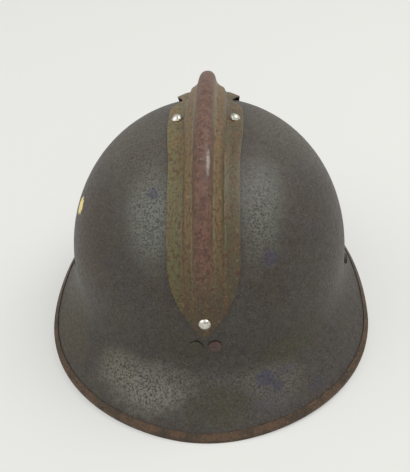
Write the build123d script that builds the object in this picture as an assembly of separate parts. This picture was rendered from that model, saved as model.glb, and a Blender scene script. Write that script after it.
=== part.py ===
from build123d import *
import math
import os

# A one-piece stamped steel helmet with a riveted crest, a laced leather liner and a chin strap.
# Millimetres. X runs left to right, Y from the neck guard (-) to the visor (+), Z up from the table.

# Skull of the shell
skull_half_width = 99.7
skull_rear_length = 105.2
skull_front_length = 117.7
skull_side_power = 2.29
skull_rear_power = 2.15
skull_front_power = 2.41
crown_height = 156.7
widest_height = 53.6
sheet = 0.8
skull_levels = 13
crown_reach_share = 0.985

# Brim: visor in front, neck guard behind, one sheet with the skull
crease_side_height = 37.2
crease_rear_height = 40.1
crease_front_height = 37.2
brim_side_slope = 49.2
brim_rear_slope = 50.3
brim_front_slope = 52.15
crease_blend = 12.0
brim_half_width = 117.6
brim_rear_length = 137.2
brim_front_length = 145.0
brim_widest_back = 29.0
brim_rear_power = 1.895
brim_front_power = 1.93
brim_levels = 4
blend_levels = 9
brim_cut_depth = 9.0
plan_points = 40
search_steps = 50

# Crimped strip round the brim
edging_sheet = 0.5
edging_width = 3.2

# Crest over the crown
crest_sheet = 0.8
crest_seat_gap = 0.4
crest_ridge_height = 19.0
crest_half_width = 23.5
crest_extra_half_width = 2.8
crest_widest_forward = 18.0
crest_widest_spread = 55.0
crest_rear_tip_height = 68.5
crest_front_tip_height = 90.0
crest_tip_length = 52.0
crest_tip_half_width = 2.4
crest_tip_power = 0.85
crest_plain_tip = 17.0
crest_rise_power = 0.8
crest_front_rise_length = 62.0
crest_stations = 28
crest_path_steps = 300
crest_slope_steps = 4
section_across_shares = (0.0, 0.14, 0.235, 0.276, 0.31, 0.41, 0.505, 0.545, 0.58, 0.62, 0.80, 1.0)
section_raise_shares = (1.0, 0.955, 0.80, 0.60, 0.53, 0.41, 0.30, 0.13, 0.025, 0.0, 0.0, 0.0)
section_lip_shares = (0.0, 0.0, 0.0, 0.0, 0.0, 0.10, 0.35, 0.60, 0.80, 0.90, 0.80, 0.60)
section_notch_shares = (0.0, 0.0, 0.0, 0.0, 0.0, 0.0, 0.0, 0.0, 0.0, 0.05, 0.5, 1.0)

# Vent mouths: a notch in the crest's flange, and a lifted lip ahead of it
notch_forward = 58.0
notch_spread = 17.0
notch_depth = 6.0
lip_forward = 78.0
lip_spread = 19.0
lip_lift = 4.4

# Vent holes under the crest
vent_radius = 4.0
vent_count = 5
vent_pitch = 17.0
vent_first_forward = -28.0

# Domed rivets that hold the crest
crest_rivet_head_radius = 4.1
crest_rivet_head_height = 2.6
crest_rivet_shank_radius = 1.6
crest_rivet_side = 19.7
crest_rivet_forward = 20.0
crest_rivet_tip_setback = 9.5
washer_radius = 5.5
washer_thickness = 1.0
washer_seat_gap = 0.25
rivet_tail_height = 1.3
rivet_tail_radius = 2.8

# Flat rivets that hold the liner clips
clip_rivet_head_radius = 4.4
clip_rivet_head_thickness = 1.1
clip_rivet_shank_radius = 1.7
clip_rivet_half_pitch = 6.1
clip_rivet_height = 59.4
clip_rivet_tail_radius = 3.4
clip_rivet_tail_thickness = 0.9

# Slots in front for a badge
badge_slot_length = 9.0
badge_slot_width = 2.2
badge_slot_half_pitch = 14.0
badge_slot_height = 72.0

# Fits
hole_clearance = 0.1
seat_clearance = 0.15
layer_clearance = 0.25
overrun = 6.0

# Liner: corrugated spacers, wool band and a leather band with tongues
band_bottom = 55.0
band_top = 96.0
spacer_depth = 6.4
spacer_sheet = 0.5
spacer_bottom_inset = 3.0
spacer_top_inset = 7.0
spacer_waves = 5
spacer_wave_length = 14.0
spacer_points_per_wave = 12
wool_thickness = 3.0
leather_thickness = 2.0
tongue_count = 6
tongue_rise = 34.0
tongue_rise_shares = (0.0, 0.30, 0.60, 0.80, 0.93, 1.0)
tongue_reach_shares = (1.0, 0.965, 0.84, 0.65, 0.40, 0.15)
tongue_opening_radius = 17.0
tongue_gap_reach_shares = (0.93, 0.80, 0.55, 0.33)
tongue_gap_half_widths = (1.5, 7.5, 10.5, 5.0)

# Lace through the tongues
lace_radius = 1.0
lace_ring_radius = 27.0
lace_swing = 3.3
lace_flat_angle = 11.0
lace_bend_radius = 7.0
lace_hole_length = 14.0
lace_hole_width = 3.6
knot_radius = 2.6
knot_length = 6.5
lace_end_length = 18.0
lace_end_spread = 30.0

# Liner clips riveted inside the skull
clip_sheet = 0.8
clip_half_width = 11.0
clip_top_above_rivet = 5.0
clip_fold_gap = 1.2
clip_return_height = 8.0

# Swivel brackets of the chin strap
bail_axis_forward = 3.0
bail_axis_height = 41.7
bracket_standoff = 1.7
bracket_sheet = 1.0
bracket_pad_radius = 6.0
bracket_half_width = 4.4
bail_rivet_radius = 1.5
bail_rivet_head_radius = 3.9
bail_rivet_head_thickness = 2.2
bail_tail_radius = 2.4
bail_tail_thickness = 0.9
swivel_clearance = 0.15

# Wire rings
wire_radius = 1.1
ring_length = 14.0
ring_start = 10.0
ring_corner_radius = 2.1
ring_inboard = 9.4
eye_wall = 0.8
strap_side_clearance = 0.6

# Chin strap, its slide and its keeper loop
strap_width = 14.0
strap_thickness = 2.2
strap_bar_clearance = 0.25
strap_ply_gap = 0.25
strap_lean = 25.0
strap_bend_radius = 69.0
strap_join_length = 8.0
strap_lap_length = 18.0
strap_tail_length = 58.0
strap_tail_taper = 5.0
strap_floor_gap = 0.4
strap_rivet_radius = 2.2
strap_rivet_head = 0.7
strap_rivet_shank_radius = 0.9
strap_rivet_distance = 13.0
slide_distance = 20.0
slide_half_length = 9.0
slide_sheet = 1.2
slide_clearance = 0.35
slide_window_length = 5.4
slide_bar_width = 2.4
slide_window_width = 13.0
keeper_distance = 44.0
keeper_half_length = 4.0
keeper_sheet = 1.5


def smooth_max(first, second, reach):
    """The larger of two values, rounded where they come within reach of each other."""
    apart = abs(first - second)
    if apart >= reach:
        return max(first, second)
    return max(first, second) + (reach - apart) ** 2 / (4 * reach)


def skull_reach(height, length, power, inset):
    """How far the skull stands from the middle axis at a height, set in from the outside."""
    top = crown_height - inset
    share = min(max((height - widest_height) / (top - widest_height), 0), 1)
    return (length - inset) * (1 - share**power) ** (1 / power)


def shell_reach(height, length, power, crease, slope, inset):
    """The skull's reach, blended into the brim's slope below the crease."""
    skull = skull_reach(height, length, power, inset)
    if height > band_bottom:
        return skull
    angle = math.radians(slope)
    brim = length + (crease - height) / math.tan(angle) - inset / math.sin(angle)
    return smooth_max(skull, brim, crease_blend)


def reaches(height, inset=0):
    """Side, rear and front reach of the shell at a height."""
    side = shell_reach(
        height, skull_half_width, skull_side_power, crease_side_height, brim_side_slope, inset
    )
    rear = shell_reach(
        height, skull_rear_length, skull_rear_power, crease_rear_height, brim_rear_slope, inset
    )
    front = shell_reach(
        height, skull_front_length, skull_front_power, crease_front_height, brim_front_slope, inset
    )
    return side, rear, front


def oval(side, rear, front):
    """A flat oval: half an ellipse behind the X axis and half another in front."""
    ahead = EllipticalCenterArc((0, 0), side, front, start_angle=0, arc_size=180)
    behind = EllipticalCenterArc((0, 0), side, rear, start_angle=180, arc_size=180)
    return make_face([ahead, behind])


def bell_heights(inset):
    """Heights of the ovals that the bell is lofted through, from below the rim to the crown."""
    low_crease = min(crease_side_height, crease_front_height) - crease_blend
    high_crease = crease_rear_height + crease_blend
    heights = []
    for index in range(brim_levels):
        share = index / brim_levels
        heights.append(-brim_cut_depth + (low_crease + brim_cut_depth) * share)
    for index in range(blend_levels):
        heights.append(low_crease + (high_crease - low_crease) * index / blend_levels)
    top = crown_height - inset
    for index in range(skull_levels):
        turn = math.radians(90) * crown_reach_share * index / (skull_levels - 1)
        rise = math.sin(turn) ** (2 / skull_side_power)
        heights.append(widest_height + (top - widest_height) * rise)
    return heights


def bell(inset):
    """The filled inside of the shell's surface, moved in by an inset."""
    sections = []
    for height in bell_heights(inset):
        sections.append(Pos(0, 0, height) * oval(*reaches(height, inset)))
    return loft(sections)


def plan_prism(inset):
    """An upright prism on the brim's outline as seen from above, moved in by an inset."""
    middle = -brim_widest_back
    points = []
    for index in range(plan_points):
        turn = 2 * math.pi * index / plan_points
        across = math.cos(turn)
        along = math.sin(turn)
        length = brim_front_length - middle if along > 0 else brim_rear_length + middle
        power = brim_front_power if along > 0 else brim_rear_power
        stretch = (abs(across) ** power + abs(along) ** power) ** (-1 / power)
        x = (brim_half_width - inset) * across * stretch
        y = middle + (length - inset) * along * stretch
        points.append((x, y))
    face = make_face(Spline(*points, periodic=True))
    return Pos(0, 0, -brim_cut_depth) * extrude(face, amount=2 * brim_cut_depth + crown_height)


def outside_depth(x, y, z):
    """Below zero inside the skull, above zero outside it."""
    if z >= crown_height:
        return z - crown_height
    side, rear, front = reaches(z)
    length = front if y > 0 else rear
    if min(side, length) <= 0:
        return 1
    return (x / side) ** 2 + (y / length) ** 2 - 1


def skull_normal(point):
    """The outward direction of the skull's surface at a point."""
    step = sheet / 8
    slopes = []
    for axis in range(3):
        ahead = list(point)
        behind = list(point)
        ahead[axis] += step
        behind[axis] -= step
        slopes.append(outside_depth(*ahead) - outside_depth(*behind))
    return Vector(*slopes).normalized()


def skull_point(x, y):
    """The point of the skull above a place."""
    low = widest_height
    high = crown_height
    for _ in range(search_steps):
        middle = (low + high) / 2
        if outside_depth(x, y, middle) < 0:
            low = middle
        else:
            high = middle
    return Vector(x, y, low)


def crest_path():
    """Points, tangents and distances along the crest's middle line, from rear tip to front tip."""
    points = []
    for index in range(crest_path_steps):
        share = index / crest_path_steps
        low = (crest_rear_tip_height - widest_height) / (crown_height - widest_height)
        start = math.asin(low ** (skull_rear_power / 2))
        turn = start + (math.pi / 2 - start) * share
        z = widest_height + (crown_height - widest_height) * math.sin(turn) ** (2 / skull_rear_power)
        y = -skull_rear_length * math.cos(turn) ** (2 / skull_rear_power)
        points.append((y, z))
    for index in range(crest_path_steps + 1):
        share = index / crest_path_steps
        low = (crest_front_tip_height - widest_height) / (crown_height - widest_height)
        end = math.asin(low ** (skull_front_power / 2))
        turn = math.pi / 2 + (end - math.pi / 2) * share
        z = widest_height + (crown_height - widest_height) * math.sin(turn) ** (2 / skull_front_power)
        y = skull_front_length * max(math.cos(turn), 0) ** (2 / skull_front_power)
        points.append((y, z))
    distances = [0]
    for before, after in zip(points, points[1:]):
        distances.append(distances[-1] + math.dist(before, after))
    return points, distances


def crest_station(distance):
    """Where the crest's middle line is at a distance from its rear tip, and its outward direction."""
    points, distances = CREST_PATH
    index = 1
    while index < len(points) - 1 and distances[index] < distance:
        index += 1
    span = distances[index] - distances[index - 1]
    share = (distance - distances[index - 1]) / span
    y = points[index - 1][0] + (points[index][0] - points[index - 1][0]) * share
    z = points[index - 1][1] + (points[index][1] - points[index - 1][1]) * share
    before = points[max(index - crest_slope_steps, 0)]
    after = points[min(index + crest_slope_steps, len(points) - 1)]
    run = math.dist(before, after)
    outward = (-(after[1] - before[1]) / run, (after[0] - before[0]) / run)
    return (y, z), outward


def bump(value, spread):
    """One at zero, falling smoothly to nothing at the spread."""
    share = min(abs(value) / spread, 1)
    return (1 - share**2) ** 2


def seat_height(x, origin, outward):
    """How high the skull lies at a distance across, measured along the outward direction."""
    low = -crest_ridge_height
    high = crest_ridge_height
    for _ in range(search_steps):
        middle = (low + high) / 2
        if outside_depth(x, origin[0] + outward[0] * middle, origin[1] + outward[1] * middle) < 0:
            low = middle
        else:
            high = middle
    return low


def crest_rise(distance, rise_length):
    """The share of the ridge's full height at a distance from one tip."""
    share = min(max((distance - crest_plain_tip) / rise_length, 0), 1)
    return math.sin(share * math.pi / 2) ** crest_rise_power


def crest_section(distance, total):
    """A thin closed section of the crest across its middle line."""
    origin, outward = crest_station(distance)
    to_tip = min(distance, total - distance)
    tip_share = min(to_tip / crest_tip_length, 1)
    ogive = (1 - (1 - tip_share) ** 2) ** crest_tip_power
    forward = origin[0]
    extra = crest_extra_half_width * bump(forward - crest_widest_forward, crest_widest_spread)
    half = crest_half_width + extra
    half = max(half * ogive, crest_tip_half_width)
    notch = notch_depth * bump(forward - notch_forward, notch_spread)
    ridge = crest_ridge_height * min(
        crest_rise(distance, total / 2 - crest_plain_tip),
        crest_rise(total - distance, crest_front_rise_length),
    )
    lift = lip_lift * bump(forward - lip_forward, lip_spread)
    half_points = []
    shares = zip(section_across_shares, section_raise_shares, section_lip_shares, section_notch_shares)
    for across, raise_share, lip_share, notch_share in shares:
        x = half * across - notch * notch_share
        seat = seat_height(x, origin, outward) + crest_seat_gap
        half_points.append((x, seat + crest_sheet + ridge * raise_share + lift * lip_share))
    top = [(-x, h) for x, h in reversed(half_points[1:])] + half_points
    under = []
    for index, point in enumerate(top):
        before = top[max(index - 1, 0)]
        after = top[min(index + 1, len(top) - 1)]
        run = math.dist(before, after)
        slope = ((after[0] - before[0]) / run, (after[1] - before[1]) / run)
        under.append((point[0] + slope[1] * crest_sheet, point[1] - slope[0] * crest_sheet))
    frame = Plane(origin=(0, *origin), x_dir=(-1, 0, 0), z_dir=(0, outward[1], -outward[0]))
    over_line = Spline(*top)
    under_line = Spline(*reversed(under))
    outline = [over_line, Line(top[-1], under[-1]), under_line, Line(under[0], top[0])]
    return frame * make_face(outline)


def crest_solid():
    """The crest's pressed sheet, before its rivet holes."""
    total = CREST_PATH[1][-1]
    sections = []
    for index in range(crest_stations + 1):
        sections.append(crest_section(total * (1 - index / crest_stations), total))
    return loft(sections)


def crest_rivet_frames():
    """A frame at each of the crest's four rivets, on the skull and facing outward."""
    total = CREST_PATH[1][-1]
    frames = []
    for side in (-1, 1):
        point = skull_point(side * crest_rivet_side, crest_rivet_forward)
        frames.append(Plane(origin=point, z_dir=skull_normal(point)))
    for distance in (crest_rivet_tip_setback, total - crest_rivet_tip_setback):
        (y, z), outward = crest_station(distance)
        frames.append(Plane(origin=(0, y, z), x_dir=(1, 0, 0), z_dir=(0, *outward)))
    return frames


def upright(radius, low, high):
    """A cylinder on the Z axis between two heights."""
    return Pos(0, 0, (low + high) / 2) * Cylinder(radius, high - low)


def crest_rivet():
    """A domed rivet: head on the crest's flange, shank through both sheets, tail inside."""
    base = crest_seat_gap + crest_sheet + layer_clearance
    ball_radius = (crest_rivet_head_radius**2 + crest_rivet_head_height**2) / (2 * crest_rivet_head_height)
    ball = Pos(0, 0, base + crest_rivet_head_height - ball_radius) * Sphere(ball_radius)
    head = ball & upright(2 * ball_radius, base, base + 2 * ball_radius)
    bottom = -sheet - washer_seat_gap - seat_clearance - washer_thickness
    shank = upright(crest_rivet_shank_radius, bottom, base)
    tail = upright(rivet_tail_radius, bottom - rivet_tail_height, bottom)
    return head + shank + tail


def crest_washer():
    """A plain washer under a crest rivet's tail, inside the skull."""
    top = -sheet - washer_seat_gap
    ring = upright(washer_radius, top - washer_thickness, top)
    return ring - upright(crest_rivet_shank_radius + hole_clearance, top - overrun, top + overrun)


def crest_rivet_holes():
    """The cutters of the crest rivets' holes."""
    cutter = upright(crest_rivet_shank_radius + hole_clearance, -overrun, overrun)
    return [frame * cutter for frame in crest_rivet_frames()]


def clip_directions():
    """Name and outward direction of each liner clip."""
    return (("front", (0, 1)), ("rear", (0, -1)), ("left", (-1, 0)), ("right", (1, 0)))


def clip_rivet_frames(direction):
    """A frame at each of a clip's two rivets, on the skull and facing outward."""
    across, along = direction
    frames = []
    for side in (-1, 1):
        shift = side * clip_rivet_half_pitch
        reach_side, rear, front = reaches(clip_rivet_height)
        if along:
            length = front if along > 0 else rear
            x = shift
            y = along * length * math.sqrt(1 - (x / reach_side) ** 2)
        else:
            y = shift + clip_side_forward()
            x = across * reach_side * math.sqrt(1 - (y / front) ** 2)
        point = Vector(x, y, clip_rivet_height)
        frames.append(Plane(origin=point, z_dir=skull_normal(point)))
    return frames


def clip_side_forward():
    """How far forward the side clips stand: clear of the skull's widest line."""
    return 2 * clip_half_width


def clip_rivet():
    """A flat rivet: thin head outside, shank through the skull and the clip, tail inside."""
    head = upright(clip_rivet_head_radius, seat_clearance, seat_clearance + clip_rivet_head_thickness)
    crown_edge = head.edges().group_by(Axis.Z)[-1]
    head = fillet(crown_edge, clip_rivet_head_thickness / 2)
    bottom = -sheet - clip_sheet - 2 * seat_clearance
    shank = upright(clip_rivet_shank_radius, bottom, seat_clearance)
    tail = upright(clip_rivet_tail_radius, bottom - clip_rivet_tail_thickness, bottom)
    return head + shank + tail


def clip_rivet_cutter():
    """The cutter of a clip rivet's hole."""
    return upright(clip_rivet_shank_radius + hole_clearance, -overrun, overrun)


def vent_cutters():
    """Round holes down the crown's middle, under the crest."""
    cutters = []
    for index in range(vent_count):
        point = skull_point(0, vent_first_forward + vent_pitch * index)
        frame = Plane(origin=point, z_dir=skull_normal(point))
        cutters.append(frame * upright(vent_radius, -overrun, overrun))
    return cutters


def badge_slot_cutters():
    """Two level slots in the front of the skull."""
    reach_side, _, front = reaches(badge_slot_height)
    cutters = []
    for side in (-1, 1):
        x = side * badge_slot_half_pitch
        y = front * math.sqrt(1 - (x / reach_side) ** 2)
        slot = extrude(Plane.XZ * SlotOverall(badge_slot_length, badge_slot_width), overrun, both=True)
        cutters.append(Pos(x, y, badge_slot_height) * slot)
    return cutters


def bail_hole_cutter():
    """One long bore through both sides of the skull for the strap's swivel rivets."""
    bore = Cylinder(bail_rivet_radius + hole_clearance, 2 * brim_half_width)
    return Pos(0, bail_axis_forward, bail_axis_height) * Rot(0, 90, 0) * bore


def shell_solid(outer_bell, inner_bell):
    """The stamped sheet of skull, visor and neck guard, with every hole through it."""
    part = (outer_bell - inner_bell) & plan_prism(edging_sheet)
    cutters = crest_rivet_holes() + vent_cutters() + badge_slot_cutters() + [bail_hole_cutter()]
    for _, direction in clip_directions():
        for frame in clip_rivet_frames(direction):
            cutters.append(frame * clip_rivet_cutter())
    return part - cutters


def edging_solid(outer_bell, inner_bell):
    """The strip crimped over the brim's edge: a thin U all the way round, cut flat on the table."""
    ring = plan_prism(0) - plan_prism(edging_width)
    wide = (bell(-edging_sheet) - bell(sheet + edging_sheet)) & ring
    sheet_edge = (outer_bell - inner_bell) & plan_prism(edging_sheet)
    part = wide - sheet_edge
    table = Pos(0, 0, -brim_cut_depth) * Box(4 * brim_half_width, 4 * brim_half_width, 2 * brim_cut_depth)
    return part - table


def liner_oval(depth):
    """The liner's oval at a depth inside the skull's inner wall, taken at the spacers' top."""
    side, rear, front = reaches(band_top - spacer_top_inset, sheet)
    return side - depth, rear - depth, front - depth


def ring_band(outer_depth, inner_depth, low, high):
    """An upright oval band between two depths and two heights."""
    outer = extrude(oval(*liner_oval(outer_depth)), high - low)
    inner = Pos(0, 0, -overrun) * extrude(oval(*liner_oval(inner_depth)), high - low + 2 * overrun)
    return Pos(0, 0, low) * (outer - inner)


SPACER_OUTER = seat_clearance
SPACER_INNER = SPACER_OUTER + spacer_depth
WOOL_OUTER = SPACER_INNER + layer_clearance
WOOL_INNER = WOOL_OUTER + wool_thickness
LEATHER_OUTER = WOOL_INNER + layer_clearance
LEATHER_INNER = LEATHER_OUTER + leather_thickness
CLIP_RETURN_OUTER = LEATHER_INNER + layer_clearance
CREST_PATH = crest_path()


def oval_point(depth, turn):
    """A point of the liner's oval at a turn from the X axis."""
    side, rear, front = liner_oval(depth)
    length = front if math.sin(turn) > 0 else rear
    return Vector(side * math.cos(turn), length * math.sin(turn))


def spacer(direction):
    """A corrugated strip between the skull and the wool band."""
    middle_turn = math.atan2(direction[1], direction[0])
    if direction[0]:
        _, _, front = liner_oval(0)
        middle_turn = math.copysign(math.asin(clip_side_forward() / front), 1)
        if direction[0] < 0:
            middle_turn = math.pi - middle_turn
    middle_depth = (SPACER_OUTER + SPACER_INNER) / 2
    swing = (spacer_depth - spacer_sheet) / 2
    radius = oval_point(middle_depth, middle_turn).length
    half_turn = spacer_waves * spacer_wave_length / radius / 2
    steps = spacer_waves * spacer_points_per_wave
    line = []
    for index in range(steps + 1):
        share = index / steps
        turn = middle_turn + half_turn * (2 * share - 1)
        depth = middle_depth + swing * math.cos(2 * math.pi * spacer_waves * share)
        line.append(oval_point(depth, turn))
    outer = []
    inner = []
    for index, point in enumerate(line):
        run = line[min(index + 1, steps)] - line[max(index - 1, 0)]
        across = Vector(run.Y, -run.X).normalized() * (spacer_sheet / 2)
        outer.append(point + across)
        inner.append(point - across)
    outline = [
        Spline(*outer),
        Line(outer[-1], inner[-1]),
        Spline(*reversed(inner)),
        Line(inner[0], outer[0]),
    ]
    low = band_bottom + spacer_bottom_inset
    high = band_top - spacer_top_inset
    return Pos(0, 0, low) * extrude(make_face(outline), high - low)


def clip_box(direction, low, high):
    """The space that a clip takes up, before it is cut to the wall and the band."""
    across, along = direction
    reach = brim_front_length
    if along:
        return Pos(0, along * reach / 2, (low + high) / 2) * Box(2 * clip_half_width, reach, high - low)
    place = Pos(across * reach / 2, clip_side_forward(), (low + high) / 2)
    return place * Box(reach, 2 * clip_half_width, high - low)


def clip_solid(direction, wall_strip, inner_bell):
    """A strip on the skull's wall that folds in under the band and up its inner face."""
    fold_top = band_bottom - clip_fold_gap + clip_sheet
    fold_bottom = fold_top - clip_sheet
    wall = wall_strip & clip_box(direction, fold_bottom, clip_rivet_height + clip_top_above_rivet)
    inside = CLIP_RETURN_OUTER + clip_sheet
    floor_ring = ring_band(-crease_blend, inside, fold_bottom, fold_top) & inner_bell
    floor = floor_ring & clip_box(direction, fold_bottom, fold_top)
    riser_ring = ring_band(CLIP_RETURN_OUTER, inside, fold_bottom, fold_top + clip_return_height)
    riser = riser_ring & clip_box(direction, fold_bottom, fold_top + clip_return_height)
    part = wall + floor + riser
    for frame in clip_rivet_frames(direction):
        part -= frame * clip_rivet_cutter()
    return part


def tongue_dome(depth, drop):
    """The filled dome under the tongues at a depth inside the wall."""
    side, rear, front = liner_oval(depth)
    sections = []
    for rise, reach in zip(tongue_rise_shares, tongue_reach_shares):
        height = band_top + tongue_rise * rise - drop
        sections.append(Pos(0, 0, height) * oval(side * reach, rear * reach, front * reach))
    return loft(sections)


def tongue_gap(turn):
    """A leaf-shaped cutter between two tongues."""
    reach = oval_point(LEATHER_INNER, turn).length
    right = []
    for share, half in zip(tongue_gap_reach_shares, tongue_gap_half_widths):
        right.append((reach * share, half))
    left = [(x, -y) for x, y in reversed(right)]
    inner = tongue_opening_radius - lace_radius
    neck = tongue_gap_half_widths[0]
    outline = Polyline(*right, (inner, neck), (inner, -neck), *left, close=True)
    cutter = extrude(make_face(outline), 2 * tongue_rise)
    return Pos(0, 0, band_top - overrun) * Rot(0, 0, math.degrees(turn)) * cutter


def lace_height():
    """The height of the leather's middle where the lace runs."""
    side, _, _ = liner_oval((LEATHER_OUTER + LEATHER_INNER) / 2)
    target = lace_ring_radius / side
    pairs = list(zip(tongue_reach_shares, tongue_rise_shares))
    for (outer, low), (inner, high) in zip(pairs, pairs[1:]):
        if inner <= target <= outer:
            share = (outer - target) / (outer - inner)
            return band_top + tongue_rise * (low + (high - low) * share) - leather_thickness / 2
    return band_top + tongue_rise


def lace_chord_radius():
    """How far from the middle the lace's straight runs pass through the tongues."""
    return lace_ring_radius * math.cos(math.pi / tongue_count - math.radians(lace_flat_angle))


def leather_liner():
    """The sweatband and its tongues, cut from one hide and drawn together over the head."""
    part = ring_band(LEATHER_OUTER, LEATHER_INNER, band_bottom, band_top)
    part += tongue_dome(LEATHER_OUTER, 0) - tongue_dome(LEATHER_INNER, leather_thickness)
    part -= upright(tongue_opening_radius, band_top, band_top + 2 * tongue_rise)
    for index in range(tongue_count):
        part -= tongue_gap(2 * math.pi * index / tongue_count)
        hole_turn = 360 * (index + 1 / 2) / tongue_count
        slot = extrude(SlotOverall(lace_hole_length, lace_hole_width, rotation=90), 2 * tongue_rise)
        place = Rot(0, 0, hole_turn) * Pos(lace_chord_radius(), 0, band_top)
        part -= place * slot
    return part


def lace_points():
    """Corners of the lace's route: over one gap between tongues, under the next."""
    middle = lace_height()
    points = []
    for index in range(tongue_count):
        level = middle + lace_swing * (1 if index % 2 == 0 else -1)
        for side in (-1, 1):
            turn = math.radians(360 * index / tongue_count + side * lace_flat_angle)
            points.append((lace_ring_radius * math.cos(turn), lace_ring_radius * math.sin(turn), level))
    return points


def crown_lace():
    """The lace through the tongues, drawn into a ring."""
    path = FilletPolyline(*lace_points(), radius=lace_bend_radius, close=True)
    start = path @ 0
    section = Plane(origin=start, z_dir=path % 0) * Circle(lace_radius)
    return sweep(section, path=path)


def lace_knot():
    """The lace's knot and its two cut ends, under one gap."""
    turn = 2 * math.pi / tongue_count
    x = lace_ring_radius * math.cos(turn)
    y = lace_ring_radius * math.sin(turn)
    level = lace_height() - lace_swing
    top = level - lace_radius - layer_clearance
    knot = Pos(x, y, top - knot_radius) * Rot(0, 90, 0) * capsule(knot_radius, knot_length)
    ends = []
    for side in (-1, 1):
        tilt = Pos(x, y, top - knot_radius) * Rot(0, side * lace_end_spread, 0)
        ends.append(tilt * Pos(0, 0, -lace_end_length / 2) * Cylinder(lace_radius, lace_end_length))
    return knot + ends


def capsule(radius, length):
    """A cylinder with round ends on the Z axis."""
    part = Cylinder(radius, length - radius)
    for side in (-1, 1):
        part += Pos(0, 0, side * (length - radius) / 2) * Sphere(radius)
    return part


# Strap frame: local X across the helmet, Y away from the swivel axis, Z along the strap's width
WALL_REACH = reaches(bail_axis_height, sheet)[0]
BRACKET_FACE = WALL_REACH - bracket_standoff
EYE_ACROSS = BRACKET_FACE - ring_inboard
BAR_DISTANCE = ring_start + ring_length
BORE_RADIUS = wire_radius + strap_bar_clearance
PLY_OFFSET = BORE_RADIUS + strap_thickness / 2
LAP_OFFSET = strap_thickness + strap_ply_gap - PLY_OFFSET
LEAN = math.radians(strap_lean)
LEG_LENGTH = (EYE_ACROSS - (PLY_OFFSET + strap_bend_radius) * math.cos(LEAN)) / math.sin(LEAN)
BEND_DISTANCE = (
    BAR_DISTANCE + LEG_LENGTH * math.cos(LEAN) - (PLY_OFFSET + strap_bend_radius) * math.sin(LEAN)
)


def strap_tilt():
    """The angle below level at which the strap's far edge just clears the table."""
    low = 0
    high = 45
    far = BEND_DISTANCE + strap_bend_radius + strap_thickness / 2
    for _ in range(search_steps):
        middle = (low + high) / 2
        angle = math.radians(middle)
        edge = bail_axis_height - far * math.sin(angle) - strap_width / 2 * math.cos(angle)
        if edge > strap_floor_gap:
            low = middle
        else:
            high = middle
    return low


TILT = math.radians(strap_tilt())
STRAP_FRAME = Plane(
    origin=(0, bail_axis_forward, bail_axis_height),
    x_dir=(1, 0, 0),
    z_dir=(0, math.sin(TILT), math.cos(TILT)),
)
LEG_FRAME = Pos(EYE_ACROSS, BAR_DISTANCE, 0) * Rot(0, 0, strap_lean)


def slab(face, half_depth):
    """A flat shape thickened evenly both ways."""
    return extrude(face, half_depth, both=True)


def annulus(centre, outer, inner):
    """A flat ring."""
    return Pos(*centre) * (Circle(outer) - Circle(inner))


def patch(*corners):
    """A flat shape with straight sides."""
    return make_face(Polyline(*corners, close=True))


def bail_bracket():
    """The right bracket: a pad on the swivel rivet, joggled inboard to an eye round the ring."""
    pad_place = Pos(BRACKET_FACE - bracket_sheet / 2, 0, 0) * Rot(0, 90, 0)
    pad = pad_place * Cylinder(bracket_pad_radius, bracket_sheet)
    eye_inner = wire_radius + swivel_clearance
    eye_outer = eye_inner + eye_wall
    outer = BRACKET_FACE
    inner = BRACKET_FACE - bracket_sheet
    knee = bracket_pad_radius / 2
    strip = patch(
        (outer, 0),
        (outer, knee),
        (EYE_ACROSS + eye_outer, ring_start),
        (EYE_ACROSS + eye_inner, ring_start),
        (inner, knee - bracket_sheet / 2),
        (inner, 0),
    )
    profile = strip + annulus((EYE_ACROSS, ring_start), eye_outer, eye_inner)
    part = pad + slab(profile, bracket_half_width)
    bore = Rot(0, 90, 0) * Cylinder(bail_rivet_radius + swivel_clearance, 2 * BRACKET_FACE)
    wire = Pos(EYE_ACROSS, ring_start, 0) * Cylinder(eye_inner, 2 * bracket_pad_radius)
    return part - bore - wire


def bail_ring():
    """The right ring: round wire bent into a rectangle through the eye and the strap's loop."""
    half = strap_width / 2 + strap_side_clearance + wire_radius
    outline = RectangleRounded(ring_length, 2 * half, ring_corner_radius)
    middle = (EYE_ACROSS, ring_start + ring_length / 2, 0)
    path = Plane(origin=middle, x_dir=(0, 1, 0), z_dir=(1, 0, 0)) * outline
    wire = path.wire()
    section = Plane(origin=wire @ 0, z_dir=wire % 0) * Circle(wire_radius)
    return sweep(section, path=wire)


def bail_rivet(outer_bell):
    """The right swivel rivet: head on the skull's outside, shank on the axis, tail inside the bracket."""
    wall = WALL_REACH + sheet
    tail_face = BRACKET_FACE - bracket_sheet - swivel_clearance
    head_length = bail_rivet_head_thickness + 2 * sheet
    head_place = Pos(wall + bail_rivet_head_thickness - head_length / 2, 0, 0) * Rot(0, 90, 0)
    head = head_place * Cylinder(bail_rivet_head_radius, head_length)
    shank_length = wall - tail_face
    shank_place = Pos(tail_face + shank_length / 2, 0, 0) * Rot(0, 90, 0)
    shank = shank_place * Cylinder(bail_rivet_radius, shank_length)
    tail_place = Pos(tail_face - bail_tail_thickness / 2, 0, 0) * Rot(0, 90, 0)
    tail = tail_place * Cylinder(bail_tail_radius, bail_tail_thickness)
    axis = Pos(0, bail_axis_forward, bail_axis_height)
    return (axis * head - outer_bell) + axis * shank + axis * tail


def bail_washer(inner_bell):
    """The right washer between the skull and the bracket, cut to the wall."""
    face = BRACKET_FACE + swivel_clearance
    length = WALL_REACH + sheet - face
    disc = Pos(face + length / 2, 0, 0) * Rot(0, 90, 0) * Cylinder(bail_tail_radius, length)
    bore = Rot(0, 90, 0) * Cylinder(bail_rivet_radius + hole_clearance, 2 * BRACKET_FACE + 4 * overrun)
    axis = Pos(0, bail_axis_forward, bail_axis_height)
    return (axis * (disc - bore)) & inner_bell


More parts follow.
